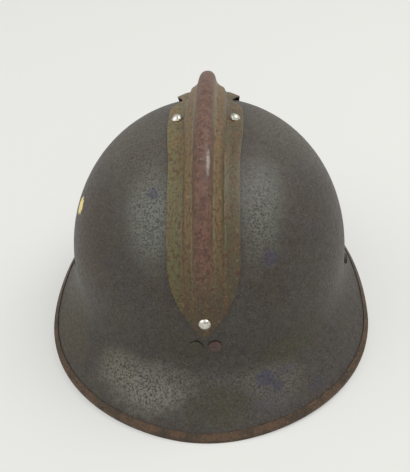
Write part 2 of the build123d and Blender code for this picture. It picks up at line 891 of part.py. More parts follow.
def strap_end(lap_length, taper):
    """The right end of the strap, flat: its leg, its loop round the ring's bar and the lap outside it."""
    half = strap_thickness / 2
    leg = patch(
        (-PLY_OFFSET - half, 0),
        (-PLY_OFFSET + half, 0),
        (-PLY_OFFSET + half, LEG_LENGTH),
        (-PLY_OFFSET - half, LEG_LENGTH),
    )
    join = patch(
        (PLY_OFFSET - half, 0),
        (PLY_OFFSET + half, 0),
        (LAP_OFFSET + half, strap_join_length),
        (LAP_OFFSET - half, strap_join_length),
    )
    lap = patch(
        (LAP_OFFSET - half, strap_join_length),
        (LAP_OFFSET + half, strap_join_length),
        (LAP_OFFSET + half, lap_length),
        (LAP_OFFSET - half, lap_length),
    )
    loop = annulus((0, 0), BORE_RADIUS + strap_thickness, BORE_RADIUS)
    part = slab(leg + join + lap + loop - Circle(BORE_RADIUS), strap_width / 2)
    for side in (-1, 1):
        corner = patch(
            (side * (strap_width / 2 - taper), lap_length),
            (side * (strap_width / 2 + overrun), lap_length - taper - overrun),
            (side * (strap_width / 2 + overrun), lap_length + overrun),
        )
        place = Plane(origin=(LAP_OFFSET, 0, 0), x_dir=(0, 0, 1), z_dir=(-1, 0, 0))
        part -= place * slab(corner, half + strap_ply_gap / 2)
    return part


def chin_strap():
    """One long strip of leather from ring to ring, lapped back at both ends."""
    turn = 180 - 2 * strap_lean
    inner = CenterArc((0, 0), strap_bend_radius - strap_thickness / 2, strap_lean, turn)
    outer = CenterArc((0, 0), strap_bend_radius + strap_thickness / 2, strap_lean, turn)
    bend = make_face([inner, outer, Line(inner @ 0, outer @ 0), Line(inner @ 1, outer @ 1)])
    main_run = Pos(0, BEND_DISTANCE, 0) * slab(bend, strap_width / 2)
    right = LEG_FRAME * strap_end(strap_tail_length, strap_tail_taper)
    left = mirror(LEG_FRAME * strap_end(strap_lap_length, strap_thickness / 2), Plane.YZ)
    return main_run + right + left - strap_rivet_shank(strap_rivet_shank_radius + hole_clearance)


def strap_rivet_shank(radius):
    """The shank of the small rivet through the left lap."""
    low = -PLY_OFFSET - strap_thickness / 2 - seat_clearance
    high = LAP_OFFSET + strap_thickness / 2 + seat_clearance
    place = Pos((low + high) / 2, strap_rivet_distance, 0) * Rot(0, 90, 0)
    return mirror(LEG_FRAME * (place * Cylinder(radius, high - low)), Plane.YZ)


def strap_rivet():
    """A small rivet that closes the strap's loop on the left."""
    low = -PLY_OFFSET - strap_thickness / 2 - seat_clearance - strap_rivet_head / 2
    high = LAP_OFFSET + strap_thickness / 2 + seat_clearance + strap_rivet_head / 2
    part = strap_rivet_shank(strap_rivet_shank_radius)
    for distance in (low, high):
        head = Pos(distance, strap_rivet_distance, 0) * Rot(0, 90, 0)
        head = head * Cylinder(strap_rivet_radius, strap_rivet_head)
        part += mirror(LEG_FRAME * head, Plane.YZ)
    return part


def strap_loop(distance, half_length, wall):
    """A closed loop round both plies of the strap's right leg."""
    low = -PLY_OFFSET - strap_thickness / 2 - slide_clearance
    high = LAP_OFFSET + strap_thickness / 2 + slide_clearance
    width = strap_width + 2 * slide_clearance
    body = Box(high - low + 2 * wall, 2 * half_length, width + 2 * wall)
    body = fillet(body.edges().filter_by(Axis.Y), wall / 2)
    way = Box(high - low, 2 * half_length + overrun, width)
    return Pos((low + high) / 2, distance, 0) * (body - way)


def strap_slide():
    """The pressed steel slide, with two windows and a bar between them on each face."""
    part = strap_loop(slide_distance, slide_half_length, slide_sheet)
    for side in (-1, 1):
        shift = side * (slide_window_length + slide_bar_width) / 2
        window = Box(4 * overrun, slide_window_length, slide_window_width)
        part -= Pos(0, slide_distance + shift, 0) * window
    return part


def save(name, *pieces):
    """Writes a sub-part, with the origin under the middle of the brim's outline."""
    shift = Pos(0, (brim_rear_length - brim_front_length) / 2, 0)
    placed = [shift * piece for piece in pieces]
    part = placed[0] if len(placed) == 1 else Compound(placed)
    export_step(part, f"parts/{name}.step")


def both_sides(piece):
    """A piece of the right side and its mirror image."""
    return piece, mirror(piece, Plane.YZ)


def main():
    os.makedirs("parts", exist_ok=True)
    outer_bell = bell(0)
    inner_bell = bell(sheet)
    wall_strip = inner_bell - bell(sheet + clip_sheet)
    save("shell", shell_solid(outer_bell, inner_bell))
    save("rim_edging", edging_solid(outer_bell, inner_bell))
    save("crest", crest_solid() - crest_rivet_holes())
    frames = crest_rivet_frames()
    save("crest_rivets", *[frame * crest_rivet() for frame in frames])
    save("crest_washers", *[frame * crest_washer() for frame in frames])
    rivets = []
    for name, direction in clip_directions():
        save(f"{name}_liner_clip", clip_solid(direction, wall_strip, inner_bell))
        save(f"{name}_spacer", spacer(direction))
        for frame in clip_rivet_frames(direction):
            rivets.append(frame * clip_rivet())
    save("clip_rivets", *rivets)
    save("wool_band", ring_band(WOOL_OUTER, WOOL_INNER, band_bottom, band_top))
    save("leather_liner", leather_liner())
    save("crown_lace", crown_lace())
    save("lace_knot", lace_knot())
    save("bail_rivets", *both_sides(bail_rivet(outer_bell)))
    save("bail_washers", *both_sides(bail_washer(inner_bell)))
    for name, piece in (("bracket", bail_bracket()), ("ring", bail_ring())):
        right, left = both_sides(piece)
        save(f"right_{name}", STRAP_FRAME * right)
        save(f"left_{name}", STRAP_FRAME * left)
    save("chin_strap", STRAP_FRAME * chin_strap())
    save("strap_rivet", STRAP_FRAME * strap_rivet())
    save("strap_slide", STRAP_FRAME * (LEG_FRAME * strap_slide()))
    keeper = strap_loop(keeper_distance, keeper_half_length, keeper_sheet)
    save("strap_keeper", STRAP_FRAME * (LEG_FRAME * keeper))


main()
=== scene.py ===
# %% [markdown]
# # A crested steel helmet
# The helmet's hard pieces come from the CAD model and keep their shapes.
# This lesson gives them their finishes, and models the soft pieces: leather, wool, lace and strap.

# %% Load the hard pieces
import math

import bmesh
import bpy
from mathutils import Matrix, Vector, noise


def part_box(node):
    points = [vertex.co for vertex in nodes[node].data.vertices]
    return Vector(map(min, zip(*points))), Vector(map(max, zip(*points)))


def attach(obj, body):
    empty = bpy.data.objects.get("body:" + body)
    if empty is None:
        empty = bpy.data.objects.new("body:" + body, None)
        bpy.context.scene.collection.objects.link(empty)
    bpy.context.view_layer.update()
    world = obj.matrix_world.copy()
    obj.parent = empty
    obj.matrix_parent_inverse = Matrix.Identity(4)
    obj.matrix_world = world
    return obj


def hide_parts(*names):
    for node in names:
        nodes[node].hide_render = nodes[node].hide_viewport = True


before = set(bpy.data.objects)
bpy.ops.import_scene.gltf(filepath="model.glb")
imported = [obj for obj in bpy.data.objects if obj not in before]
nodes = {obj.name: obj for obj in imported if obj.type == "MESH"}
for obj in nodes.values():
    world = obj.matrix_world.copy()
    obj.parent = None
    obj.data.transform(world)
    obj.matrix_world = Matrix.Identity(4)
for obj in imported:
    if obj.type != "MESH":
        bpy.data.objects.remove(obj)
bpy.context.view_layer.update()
MM = 0.001

# %% [markdown]
# ## Colours and nodes
# Paint colours are easiest to read off a picture as sRGB hex, but shaders work in linear light.
# One function turns the one into the other, so every colour below is written as the eye sees it.

# %% Turn a hex colour to linear light
def srgb(code):
    """A linear colour with alpha from an sRGB hex code."""
    parts = [int(code[i : i + 2], 16) / 255 for i in (1, 3, 5)]
    linear = [p / 12.92 if p <= 0.04045 else ((p + 0.055) / 1.055) ** 2.4 for p in parts]
    return (*linear, 1.0)


print("mid grey in linear light", round(srgb("#808080")[0], 3))

# %% [markdown]
# A shader is a graph of nodes. Clicking them together is quick once, but hard to repeat.
# One small function adds any node, gives it its settings, and links or fills its inputs.

# %% Add one node with its settings and links
def add_node(tree, kind, inputs=None, stops=None, **settings):
    """Adds a node. Inputs are values or sockets; stops are a colour ramp's places and colours."""
    made = tree.nodes.new(kind)
    for name, value in settings.items():
        setattr(made, name, value)
    for key, value in (inputs or {}).items():
        if isinstance(value, bpy.types.NodeSocket):
            tree.links.new(value, made.inputs[key])
        else:
            made.inputs[key].default_value = value
    if stops:
        ramp = made.color_ramp
        while len(ramp.elements) < len(stops):
            ramp.elements.new(0.5)
        for element, (place, colour) in zip(ramp.elements, stops):
            element.position = place
            element.color = srgb(colour)
    return made


def per_metre(size_mm):
    """How many features of a size in millimetres fit in a metre: a texture's scale."""
    return 1000.0 / size_mm


def start_material(name):
    """An empty material with its tree, its surface shader and the piece's own coordinates."""
    material = bpy.data.materials.new(name)
    material.use_nodes = True
    tree = material.node_tree
    surface = tree.nodes["Principled BSDF"]
    place = add_node(tree, "ShaderNodeTexCoord").outputs["Object"]
    return material, tree, surface, place


print("a 2 mm grain has scale", per_metre(2.0))

# %% [markdown]
# ## Camera
# The picture was taken from above and behind the neck guard, about 0.65 m away.
# The camera is placed by its angles and distance from the helmet's middle,
# because these are what was measured, and a few degrees of roll finish the match.

# %% Place the camera
LOOK_AT = Vector((0.0, -3.9, 72.4)) * MM
EYE_ELEVATION = math.radians(38.569)
EYE_YAW = math.radians(2.739)
EYE_ROLL = math.radians(2.242)
EYE_DISTANCE = 658.16 * MM
PICTURE_WIDTH, PICTURE_HEIGHT = 410, 472
FOCAL_PIXELS = 894.87
MIDDLE_PIXEL = (208.77, 230.24)
SENSOR_WIDTH = 36.0
NEAREST_SEEN = 10.0 * MM

toward_eye = Vector((
    math.sin(EYE_YAW) * math.cos(EYE_ELEVATION),
    -math.cos(EYE_YAW) * math.cos(EYE_ELEVATION),
    math.sin(EYE_ELEVATION),
))
level_right = Vector((math.cos(EYE_YAW), math.sin(EYE_YAW), 0))
level_up = toward_eye.cross(level_right)
right = level_right * math.cos(EYE_ROLL) - level_up * math.sin(EYE_ROLL)
up = level_right * math.sin(EYE_ROLL) + level_up * math.cos(EYE_ROLL)
camera_data = bpy.data.cameras.new("camera")
camera = bpy.data.objects.new("camera", camera_data)
bpy.context.scene.collection.objects.link(camera)
eye_turn = Matrix((right, up, toward_eye)).transposed().to_4x4()
camera.matrix_world = Matrix.Translation(LOOK_AT + toward_eye * EYE_DISTANCE) @ eye_turn
camera_data.sensor_width = SENSOR_WIDTH
camera_data.lens = FOCAL_PIXELS * SENSOR_WIDTH / PICTURE_HEIGHT
camera_data.shift_x = (PICTURE_WIDTH / 2 - MIDDLE_PIXEL[0]) / PICTURE_HEIGHT
camera_data.shift_y = (MIDDLE_PIXEL[1] - PICTURE_HEIGHT / 2) / PICTURE_HEIGHT
camera_data.clip_start = NEAREST_SEEN
bpy.context.scene.camera = camera
shift = (round(camera_data.shift_x, 4), round(camera_data.shift_y, 4))
print("lens", round(camera_data.lens, 1), "mm, shift", shift)

# %% [markdown]
# ## Floor
# The helmet stands on a plain pale table that runs into a pale wall.
# The paper glows a little, as an over-lit studio table does, so the helmet's shadow on it stays faint.

# %% Lay the floor
FLOOR_HALF = 3.0
PAPER, PAPER_GLOW, GLOW_STRENGTH = "#a6a6a3", "#e8e8e5", 0.52
floor_mesh = bmesh.new()
bmesh.ops.create_grid(floor_mesh, x_segments=1, y_segments=1, size=FLOOR_HALF)
floor_data = bpy.data.meshes.new("floor")
floor_mesh.to_mesh(floor_data)
floor_mesh.free()
floor = bpy.data.objects.new("floor", floor_data)
bpy.context.scene.collection.objects.link(floor)
material, _, surface, _ = start_material("pale_table_paper")
surface.inputs["Base Color"].default_value = srgb(PAPER)
surface.inputs["Emission Color"].default_value = srgb(PAPER_GLOW)
surface.inputs["Emission Strength"].default_value = GLOW_STRENGTH
surface.inputs["Roughness"].default_value = 0.9
surface.inputs["Specular IOR Level"].default_value = 0.1
floor_data.materials.append(material)
print("the table's paper is", 2 * FLOOR_HALF, "m wide")

# %% [markdown]
# ## Background
# The world is both the wall and the room's own light. What the camera and shiny metal see of it
# is the pale wall; everything else gets a weaker white light, so that the paint keeps its depth.

# %% Light the world
WALL, ROOM_LIGHT, ROOM_STRENGTH = "#e6e6e3", "#fdfcf8", 0.5
world = bpy.data.worlds.new("studio")
bpy.context.scene.world = world
world.use_nodes = True
tree = world.node_tree
tree.nodes.clear()
rays = add_node(tree, "ShaderNodeLightPath").outputs
seen = add_node(
    tree, "ShaderNodeMath", {0: rays["Is Camera Ray"], 1: rays["Is Glossy Ray"]}, operation="MAXIMUM"
)
light = add_node(tree, "ShaderNodeBackground", {"Color": srgb(ROOM_LIGHT), "Strength": ROOM_STRENGTH})
wall = add_node(tree, "ShaderNodeBackground", {"Color": srgb(WALL), "Strength": 1.0})
both = add_node(
    tree, "ShaderNodeMixShader", {0: seen.outputs[0], 1: light.outputs[0], 2: wall.outputs[0]}
)
add_node(tree, "ShaderNodeOutputWorld", {"Surface": both.outputs[0]})
print("the world has", len(tree.nodes), "nodes")

# %% [markdown]
# ## Lamps
# Soft, high light from wide panels, the stronger one above and to the right,
# gives the dull sheen on the upper right of the skull and only a faint shadow on the table.

# %% Hang the lamps
# name, place and size in metres, watts
LAMPS = (
    ("key_panel", (0.7, 0.2, 1.4), 0.9, 12.0),
    ("fill_panel", (-1.0, -0.2, 1.2), 1.1, 6.5),
    ("front_panel", (0.1, -1.4, 0.8), 1.0, 2.0),
)
for name, position, size, watts in LAMPS:
    data = bpy.data.lights.new(name, "AREA")
    data.shape = "SQUARE"
    data.size = size
    data.energy = watts
    lamp = bpy.data.objects.new(name, data)
    bpy.context.scene.collection.objects.link(lamp)
    lamp.location = position
    lamp.rotation_euler = (LOOK_AT - Vector(position)).to_track_quat("-Z", "Y").to_euler()
bpy.context.scene.view_settings.view_transform = "Standard"
print(len(LAMPS), "soft panels light the helmet")

# %% [markdown]
# ## Patches, specks and clouds
# Old paint is made of layers: clouds of colour, ragged patches and fine specks. Each kind of layer
# gets one function, because every finish below is built of the same few layers at other sizes.
# A patch gets its ragged edge from noise, which is added to the distance from its middle. Noise stays
# near a half, so half the shake is added to where the patch ends, and it ends at its radius on average.

# %% Make patches, specks and clouds
SHAKE = 1.2
PATCH_END = 1.0 + SHAKE / 2


def zone(tree, place, centre_mm, radii_mm, blur_mm, rough_mm):
    """A ragged patch round a point of the helmet: one inside it and zero outside."""
    centre = Vector(centre_mm) * MM
    shrink = [1 / (radius * MM) for radius in radii_mm]
    moved = add_node(tree, "ShaderNodeVectorMath", {0: place, 1: centre}, operation="SUBTRACT")
    spread = add_node(tree, "ShaderNodeVectorMath", {0: moved.outputs[0], 1: shrink}, operation="MULTIPLY")
    length = add_node(tree, "ShaderNodeVectorMath", {0: spread.outputs[0]}, operation="LENGTH")
    grain = {"Scale": per_metre(rough_mm), "Detail": 4.0}
    ragged = add_node(tree, "ShaderNodeTexNoise", {"Vector": place, **grain}).outputs[0]
    shaken = add_node(
        tree, "ShaderNodeMath", {0: ragged, 1: SHAKE, 2: length.outputs["Value"]}, operation="MULTIPLY_ADD"
    ).outputs[0]
    edge = blur_mm / min(radii_mm)
    fade = {"From Min": PATCH_END - edge, "From Max": PATCH_END + edge, "To Min": 1.0, "To Max": 0.0}
    soft = add_node(
        tree, "ShaderNodeMapRange", {"Value": shaken, **fade}, interpolation_type="SMOOTHSTEP"
    )
    return soft.outputs[0]


def over(tree, below, colour, mask, share=1.0):
    """Lays a colour over what is below it, where the mask is."""
    part = add_node(tree, "ShaderNodeMath", {0: mask, 1: share}, operation="MULTIPLY")
    laid = add_node(
        tree, "ShaderNodeMix", {0: part.outputs[0], 6: below, 7: colour}, data_type="RGBA", clamp_factor=True
    )
    return laid.outputs[2]


def specks(tree, place, size_mm, low, high, detail=3.0):
    """Ragged specks of a size: noise cut off between two levels."""
    grain = {"Scale": per_metre(size_mm), "Detail": detail}
    value = add_node(tree, "ShaderNodeTexNoise", {"Vector": place, **grain}).outputs[0]
    cut = add_node(tree, "ShaderNodeMapRange", {"Value": value, "From Min": low, "From Max": high})
    return cut.outputs[0]


def clouds(tree, place, size_mm, stops, detail=4.0):
    """Soft clouds of several colours."""
    grain = {"Scale": per_metre(size_mm), "Detail": detail, "Roughness": 0.6}
    cloud = add_node(tree, "ShaderNodeTexNoise", {"Vector": place, **grain})
    return add_node(tree, "ShaderNodeValToRGB", {0: cloud.outputs[0]}, stops=stops).outputs[0]


print("a patch ends where its shaken distance is", PATCH_END)

# %% [markdown]
# Three more helpers save repeating: one lays a list of speck colours, each over the last,
# one gives a surface its grain, as a bump of a real size and depth, and one paints a hard piece.

# %% Lay lists of specks, and roughen a surface
def speckle(tree, place, below, rows):
    """Lays specks from rows of colour, size in mm, low and high level, detail and share."""
    for shade, size_mm, low, high, detail, share in rows:
        below = over(tree, below, srgb(shade), specks(tree, place, size_mm, low, high, detail), share)
    return below


def roughen(tree, surface, place, grain_mm, depth_mm, strength, detail=4.0, roughness=0.5):
    """Gives the surface a grain of a size and a depth."""
    settings = {"Scale": per_metre(grain_mm), "Detail": detail, "Roughness": roughness}
    grain = add_node(tree, "ShaderNodeTexNoise", {"Vector": place, **settings})
    bump = add_node(
        tree, "ShaderNodeBump", {"Height": grain.outputs[0], "Strength": strength, "Distance": depth_mm * MM}
    )
    tree.links.new(bump.outputs[0], surface.inputs["Normal"])


def paint(name, material):
    """Gives a hard piece its finish."""
    mesh = nodes[name].data
    mesh.materials.clear()
    mesh.materials.append(material)


print("helpers for specks and grain are ready")

# %% [markdown]
# ## Worn field paint on the shell
# The stamped shell was sprayed with a dark, gritty, matt paint. Age has left it mottled:
# brown where it is thin, blue-grey where it has chalked, and rubbed paler on the brim.
# The larger marks are listed with their places on the helmet, so that each can be moved or
# recoloured alone. Pale marks come first: rubbed paint, and one band of painted light below the crease at the
# back. Stains go over them.

# %% List the marks on the shell
# colour, centre and radii in mm, blur of the edge in mm, size of its raggedness in mm, share
PALE_MARKS = (
    ("#7f7e76", (-38, -114, 25), (26, 17, 14), 9.0, 5.0, 0.85),
    ("#7a796a", (-60, -101, 28), (18, 15, 11), 7.0, 6.0, 0.75),
    ("#6f736a", (-34, -64, 133), (13, 34, 24), 10.0, 6.0, 0.8),
    ("#686b62", (37, -62, 134), (12, 34, 24), 9.0, 5.0, 0.7),
    ("#5c574c", (92, -44, 52), (14, 34, 9), 6.0, 6.0, 0.5),
    ("#5a584a", (-90, -48, 52), (12, 34, 12), 6.0, 6.0, 0.5),
    ("#5d594e", (58, 20, 138), (30, 30, 24), 10.0, 9.0, 0.5),
    ("#5b5548", (-46, -8, 148), (26, 34, 22), 10.0, 9.0, 0.55),
    # painted light: a pale band across the neck guard just below the crease, where the brim faces up
    ("#5a584f", (0, -118, 33), (62, 22, 5), 4.0, 6.0, 0.5),
    ("#66645c", (46, -109, 26), (21, 15, 11), 6.0, 7.0, 0.6),
)
STAINS = (
    ("#4b4531", (-99, -52, 26), (14, 40, 14), 8.0, 9.0, 0.7),
    ("#38361f", (6, -125, 20), (20, 12, 13), 7.0, 8.0, 0.7),
    ("#3f4023", (62, -90, 44), (24, 20, 8), 6.0, 7.0, 0.55),
    ("#3c3c22", (-14, -108, 58), (16, 10, 8), 6.0, 6.0, 0.4),
    ("#3c3b4c", (39, -109, 29), (6.5, 6, 5), 1.5, 4.0, 0.85),
    ("#3b3a48", (47, -110, 23), (4.5, 5, 4), 1.2, 3.0, 0.8),
    ("#45434a", (54, -103, 30), (10, 5, 2.5), 1.2, 4.0, 0.6),
    ("#3d3b4a", (72, -99, 14), (8, 8, 4), 2.0, 3.0, 0.55),
    ("#504c50", (46, -120, 15), (18, 10, 6), 5.0, 5.0, 0.5),
    ("#3d3a4c", (-33, -53, 142), (4, 4, 3), 2.0, 2.5, 0.8),
    ("#3d3a4c", (42, -82, 112), (5, 5, 6), 2.0, 3.0, 0.75),
    ("#44362c", (-76, -50, 106), (22, 30, 34), 12.0, 11.0, 0.5),
)
YELLOW_DABS = (("#f0dc8c", (-91, -17.5, 107.5), (6, 6.6, 6.6), 0.5, 3.0, 1.0),)
# colour, size in mm, low and high level, detail, share
SHELL_SPECKS = (
    ("#5e5b50", 1.4, 0.52, 0.68, 3.0, 0.45),
    ("#3e3b4c", 4.5, 0.6, 0.7, 6.0, 0.4),
    ("#523a29", 3.4, 0.6, 0.72, 6.0, 0.45),
    ("#1f1b18", 1.15, 0.52, 0.64, 3.0, 0.7),
)
print(len(PALE_MARKS), "pale marks,", len(STAINS), "stains and", len(YELLOW_DABS), "dab of yellow paint")

# %% [markdown]
# The paint itself starts as brown and grey clouds with smaller blotches. Under the pale marks, rubbed paint
# and painted light alike, its grit is left as dark pits. Last come the specks and the one dab of yellow on the
# left.
# Grit of a millimetre or so is the finest that shows at this distance.

# %% Mix the shell's paint
PIT_SHARE = 0.85


def lay_marks(tree, place, below, rows):
    """Lays listed marks over what is below. Returns the colour and the marks' masks."""
    masks = []
    for shade, *patch, share in rows:
        masks.append(zone(tree, place, *patch))
        below = over(tree, below, srgb(shade), masks[-1], share)
    return below, masks


def field_paint():
    """Dark gritty matt paint, worn, on steel."""
    material, tree, surface, place = start_material("field_paint_on_steel")
    base_stops = ((0.34, "#3b3228"), (0.47, "#3f372f"), (0.56, "#3d3939"), (0.68, "#42402e"))
    base = clouds(tree, place, 34.0, base_stops)
    blotch = clouds(tree, place, 6.0, ((0.34, "#322a24"), (0.5, "#413a33"), (0.66, "#4c4640")), 6.0)
    colour = add_node(tree, "ShaderNodeMix", {0: 0.55, 6: base, 7: blotch}, data_type="RGBA").outputs[2]
    colour, masks = lay_marks(tree, place, colour, PALE_MARKS)
    # the pale marks' masks together: rubbed paint, and the one band of painted light below the crease
    rubbed_and_painted_light = masks[0]
    for mask in masks[1:]:
        rubbed_and_painted_light = add_node(tree, "ShaderNodeMath", {0: rubbed_and_painted_light, 1: mask}, operation="MAXIMUM").outputs[0]
    grit = specks(tree, place, 1.5, 0.49, 0.6, 6.0)
    pits = add_node(tree, "ShaderNodeMath", {0: rubbed_and_painted_light, 1: grit}, operation="MULTIPLY")
    colour = over(tree, colour, srgb("#2f2b27"), pits.outputs[0], PIT_SHARE)
    colour, _ = lay_marks(tree, place, colour, STAINS)
    colour = speckle(tree, place, colour, SHELL_SPECKS)
    colour, _ = lay_marks(tree, place, colour, YELLOW_DABS)
    tree.links.new(colour, surface.inputs["Base Color"])
    surface.inputs["Specular IOR Level"].default_value = 0.4
    dull = specks(tree, place, 2.2, 0.3, 0.7)
    gloss = add_node(tree, "ShaderNodeMapRange", {"Value": dull, "To Min": 0.42, "To Max": 0.62})
    tree.links.new(gloss.outputs[0], surface.inputs["Roughness"])
    roughen(tree, surface, place, 1.4, 0.4, 0.6, roughness=0.6)
    return material


shell_paint = field_paint()
paint("shell", shell_paint)
print("the shell's paint has", len(shell_paint.node_tree.nodes), "nodes")

# %% [markdown]
# ## Rusty edging
# The strip crimped round the brim has lost most of its paint. What is left is dark olive and brown,
# with darker dirt and brighter specks of bare rust, and the rust stands up in small scales.

# %% Rust the edging
EDGING_SPECKS = (("#292019", 1.6, 0.55, 0.66, 3.0, 0.7), ("#7d5a40", 2.0, 0.6, 0.7, 3.0, 0.5))


def rusty_edging():
    """Paint worn through to brown rust."""
    material, tree, surface, place = start_material("rusted_paint_on_edging")
    stops = ((0.32, "#332a20"), (0.47, "#463828"), (0.58, "#5a4231"), (0.7, "#413b28"))
    colour = clouds(tree, place, 9.0, stops)
    colour = speckle(tree, place, colour, EDGING_SPECKS)
    tree.links.new(colour, surface.inputs["Base Color"])
    surface.inputs["Roughness"].default_value = 0.6
    surface.inputs["Specular IOR Level"].default_value = 0.4
    roughen(tree, surface, place, 1.3, 0.3, 0.6)
    return material


paint("rim_edging", rusty_edging())
print("the edging is rusty brown")

# %% [markdown]
# ## The crest's paint
# The crest keeps more of its olive paint than the shell, but the ridge is rubbed down to red primer,
# and rust runs in stripes along its length. The stripes come from noise that is stretched along
# the helmet, and the ridge from the distance to the middle plane, which is the piece's own X.
# Noise makes that distance wander a little, so that no stripe is ruled straight.

# %% Measure stripes along the crest
LONG_STRETCH = (1.0, 0.14, 0.14)
DASH_STRETCH = (1.0, 0.5, 0.5)
WANDER = 2.8 * MM


def stripe(tree, across, middle_mm, half_mm, high):
    """A soft stripe at a distance from the crest's middle line, on its high part."""
    apart = add_node(tree, "ShaderNodeMath", {0: across, 1: middle_mm * MM}, operation="SUBTRACT")
    size = add_node(tree, "ShaderNodeMath", {0: apart.outputs[0]}, operation="ABSOLUTE")
    fade = {"From Max": half_mm * MM, "To Min": 1.0, "To Max": 0.0}
    line = add_node(tree, "ShaderNodeMapRange", {"Value": size.outputs[0], **fade})
    return add_node(tree, "ShaderNodeMath", {0: line.outputs[0], 1: high}, operation="MULTIPLY").outputs[0]


def levels(start_mm, end_mm):
    """The settings that make a mask rise from zero to one between two distances."""
    return {"From Min": start_mm * MM, "From Max": end_mm * MM}


print("stripes wander by up to", round(WANDER / MM, 1), "mm")

# %% [markdown]
# The layers go on from the large to the small: lines and patches of olive, a paler top, a warm patch
# toward the front, painted shade on the right flank and painted light on the left flank, rust, the bands
# beside the ridge, pale edge lines that are partly rubbed paint and partly painted highlight,
# the ridge's primer, short dashes of rust, and last the specks and one bright scratch.

# %% Wear the crest along its length
RIDGE_EDGE_MM = (8.4, 6.6)
BESIDE_RIDGE_MM = (11.0, 4.5)
# pale lines along the ridge's edge and the shoulder: partly rubbed paint, partly painted highlight
WORN_AND_HIGHLIGHT_EDGES_MM = ((8.6, 0.9), (15.0, 0.9))
# painted shade on the right flank and painted light on the left: colour, where it starts and where it is full
# in mm from the middle plane, share
PAINTED_FLANK_SHADE_AND_LIGHT = (("#40382a", 6, 13, 0.45), ("#66683f", -13, -17, 0.3))
# the columns of the shell's specks and marks
CREST_DASHES = (("#4c2c1f", 1.5, 0.52, 0.62, 4.0, 0.75),)
CREST_SPECKS = (("#8f8a70", 2.0, 0.6, 0.72, 3.0, 0.4), ("#2b2419", 1.5, 0.58, 0.7, 3.0, 0.7))
SCRATCHES = (("#a9a59b", (3.5, -50, 160), (1.1, 9, 9), 0.6, 2.0, 0.8),)


def crest_paint():
    """Olive paint worn to red primer on the ridge."""
    material, tree, surface, place = start_material("worn_olive_paint_over_primer")
    x, y, z = add_node(tree, "ShaderNodeSeparateXYZ", {0: place}).outputs
    long_way = add_node(tree, "ShaderNodeMapping", {"Vector": place, "Scale": LONG_STRETCH}).outputs[0]
    dash_way = add_node(tree, "ShaderNodeMapping", {"Vector": place, "Scale": DASH_STRETCH}).outputs[0]
    grain = {"Scale": per_metre(5.0), "Detail": 4.0}
    wander = add_node(tree, "ShaderNodeTexNoise", {"Vector": long_way, **grain}).outputs[0]
    straight = add_node(tree, "ShaderNodeMath", {0: x}, operation="ABSOLUTE").outputs[0]
    across = add_node(
        tree, "ShaderNodeMath", {0: wander, 1: WANDER, 2: straight}, operation="MULTIPLY_ADD"
    ).outputs[0]
    high = add_node(tree, "ShaderNodeMapRange", {"Value": z, **levels(90, 140)}).outputs[0]
    line_stops = ((0.34, "#3f3f25"), (0.48, "#4c462c"), (0.58, "#513f28"), (0.68, "#4a4d2c"))
    lines = clouds(tree, long_way, 3.2, line_stops, 5.0)
    patches = clouds(tree, place, 13.0, ((0.34, "#444023"), (0.5, "#4d4330"), (0.64, "#433829")))
    colour = add_node(tree, "ShaderNodeMix", {0: 0.45, 6: lines, 7: patches}, data_type="RGBA").outputs[2]
    colour = over(tree, colour, srgb("#6e6849"), high, 0.5)
    patchy = specks(tree, place, 9.0, 0.42, 0.6)
    toward_front = add_node(tree, "ShaderNodeMapRange", {"Value": y, **levels(-60, -10)}).outputs[0]
    warmth = add_node(tree, "ShaderNodeMath", {0: toward_front, 1: patchy}, operation="MULTIPLY")
    colour = over(tree, colour, srgb("#7d5f35"), warmth.outputs[0], 0.55)
    # painted shade darkens the right flank, and painted light makes the left flank paler
    for shade, start_mm, end_mm, share in PAINTED_FLANK_SHADE_AND_LIGHT:
        painted_flank_shade_and_light = add_node(tree, "ShaderNodeMapRange", {"Value": x, **levels(start_mm, end_mm)})
        colour = over(tree, colour, srgb(shade), painted_flank_shade_and_light.outputs[0], share)
    colour = over(tree, colour, srgb("#6f4827"), specks(tree, long_way, 3.0, 0.5, 0.64, 5.0), 0.35)
    colour = over(tree, colour, srgb("#7f5a2e"), stripe(tree, across, *BESIDE_RIDGE_MM, high), 0.4)
    # pale edge lines, partly rubbed paint and partly painted highlight
    for edge in WORN_AND_HIGHLIGHT_EDGES_MM:
        colour = over(tree, colour, srgb("#85836c"), stripe(tree, across, *edge, high), 0.35)
    ridge = add_node(tree, "ShaderNodeMapRange", {"Value": across, **levels(*RIDGE_EDGE_MM)}).outputs[0]
    upper = add_node(tree, "ShaderNodeMapRange", {"Value": z, **levels(93, 125)}).outputs[0]
    primer_mask = add_node(tree, "ShaderNodeMath", {0: ridge, 1: upper}, operation="MULTIPLY")
    primer_stops = ((0.34, "#4a322b"), (0.48, "#604238"), (0.58, "#6c4a3d"), (0.68, "#5f4c45"))
    primer = clouds(tree, place, 5.0, primer_stops, 6.0)
    colour = over(tree, colour, primer, primer_mask.outputs[0], 0.92)
    colour = speckle(tree, dash_way, colour, CREST_DASHES)
    colour = speckle(tree, place, colour, CREST_SPECKS)
    colour, _ = lay_marks(tree, place, colour, SCRATCHES)
    tree.links.new(colour, surface.inputs["Base Color"])
    surface.inputs["Roughness"].default_value = 0.5
    surface.inputs["Specular IOR Level"].default_value = 0.4
    roughen(tree, surface, place, 1.4, 0.4, 0.6)
    return material


paint("crest", crest_paint())
print("the crest is worn to primer on its ridge")

# %% [markdown]
# ## Metals
# The crest's rivets are nickel, dull and dented. The clips, washers, brackets and slide are bare steel
# with brown stains, and the spacers are plain aluminium strip. A metal's colour is its reflection,
# so these are metallic, with noise in the roughness and a little dirt that isn't metallic.

# %% Cast the metals
STEEL_PIECES = (
    "crest_washers", "bail_washers", "left_bracket", "right_bracket", "left_ring", "right_ring",
    "strap_rivet", "strap_slide",
    "front_liner_clip", "rear_liner_clip", "left_liner_clip", "right_liner_clip",
)
ALUMINIUM_PIECES = ("front_spacer", "rear_spacer", "left_spacer", "right_spacer")
STAIN_SOFTNESS, STAIN_SHARE, STAIN_METALLIC, STAIN_DULLNESS = 0.14, 0.9, 0.35, 0.3


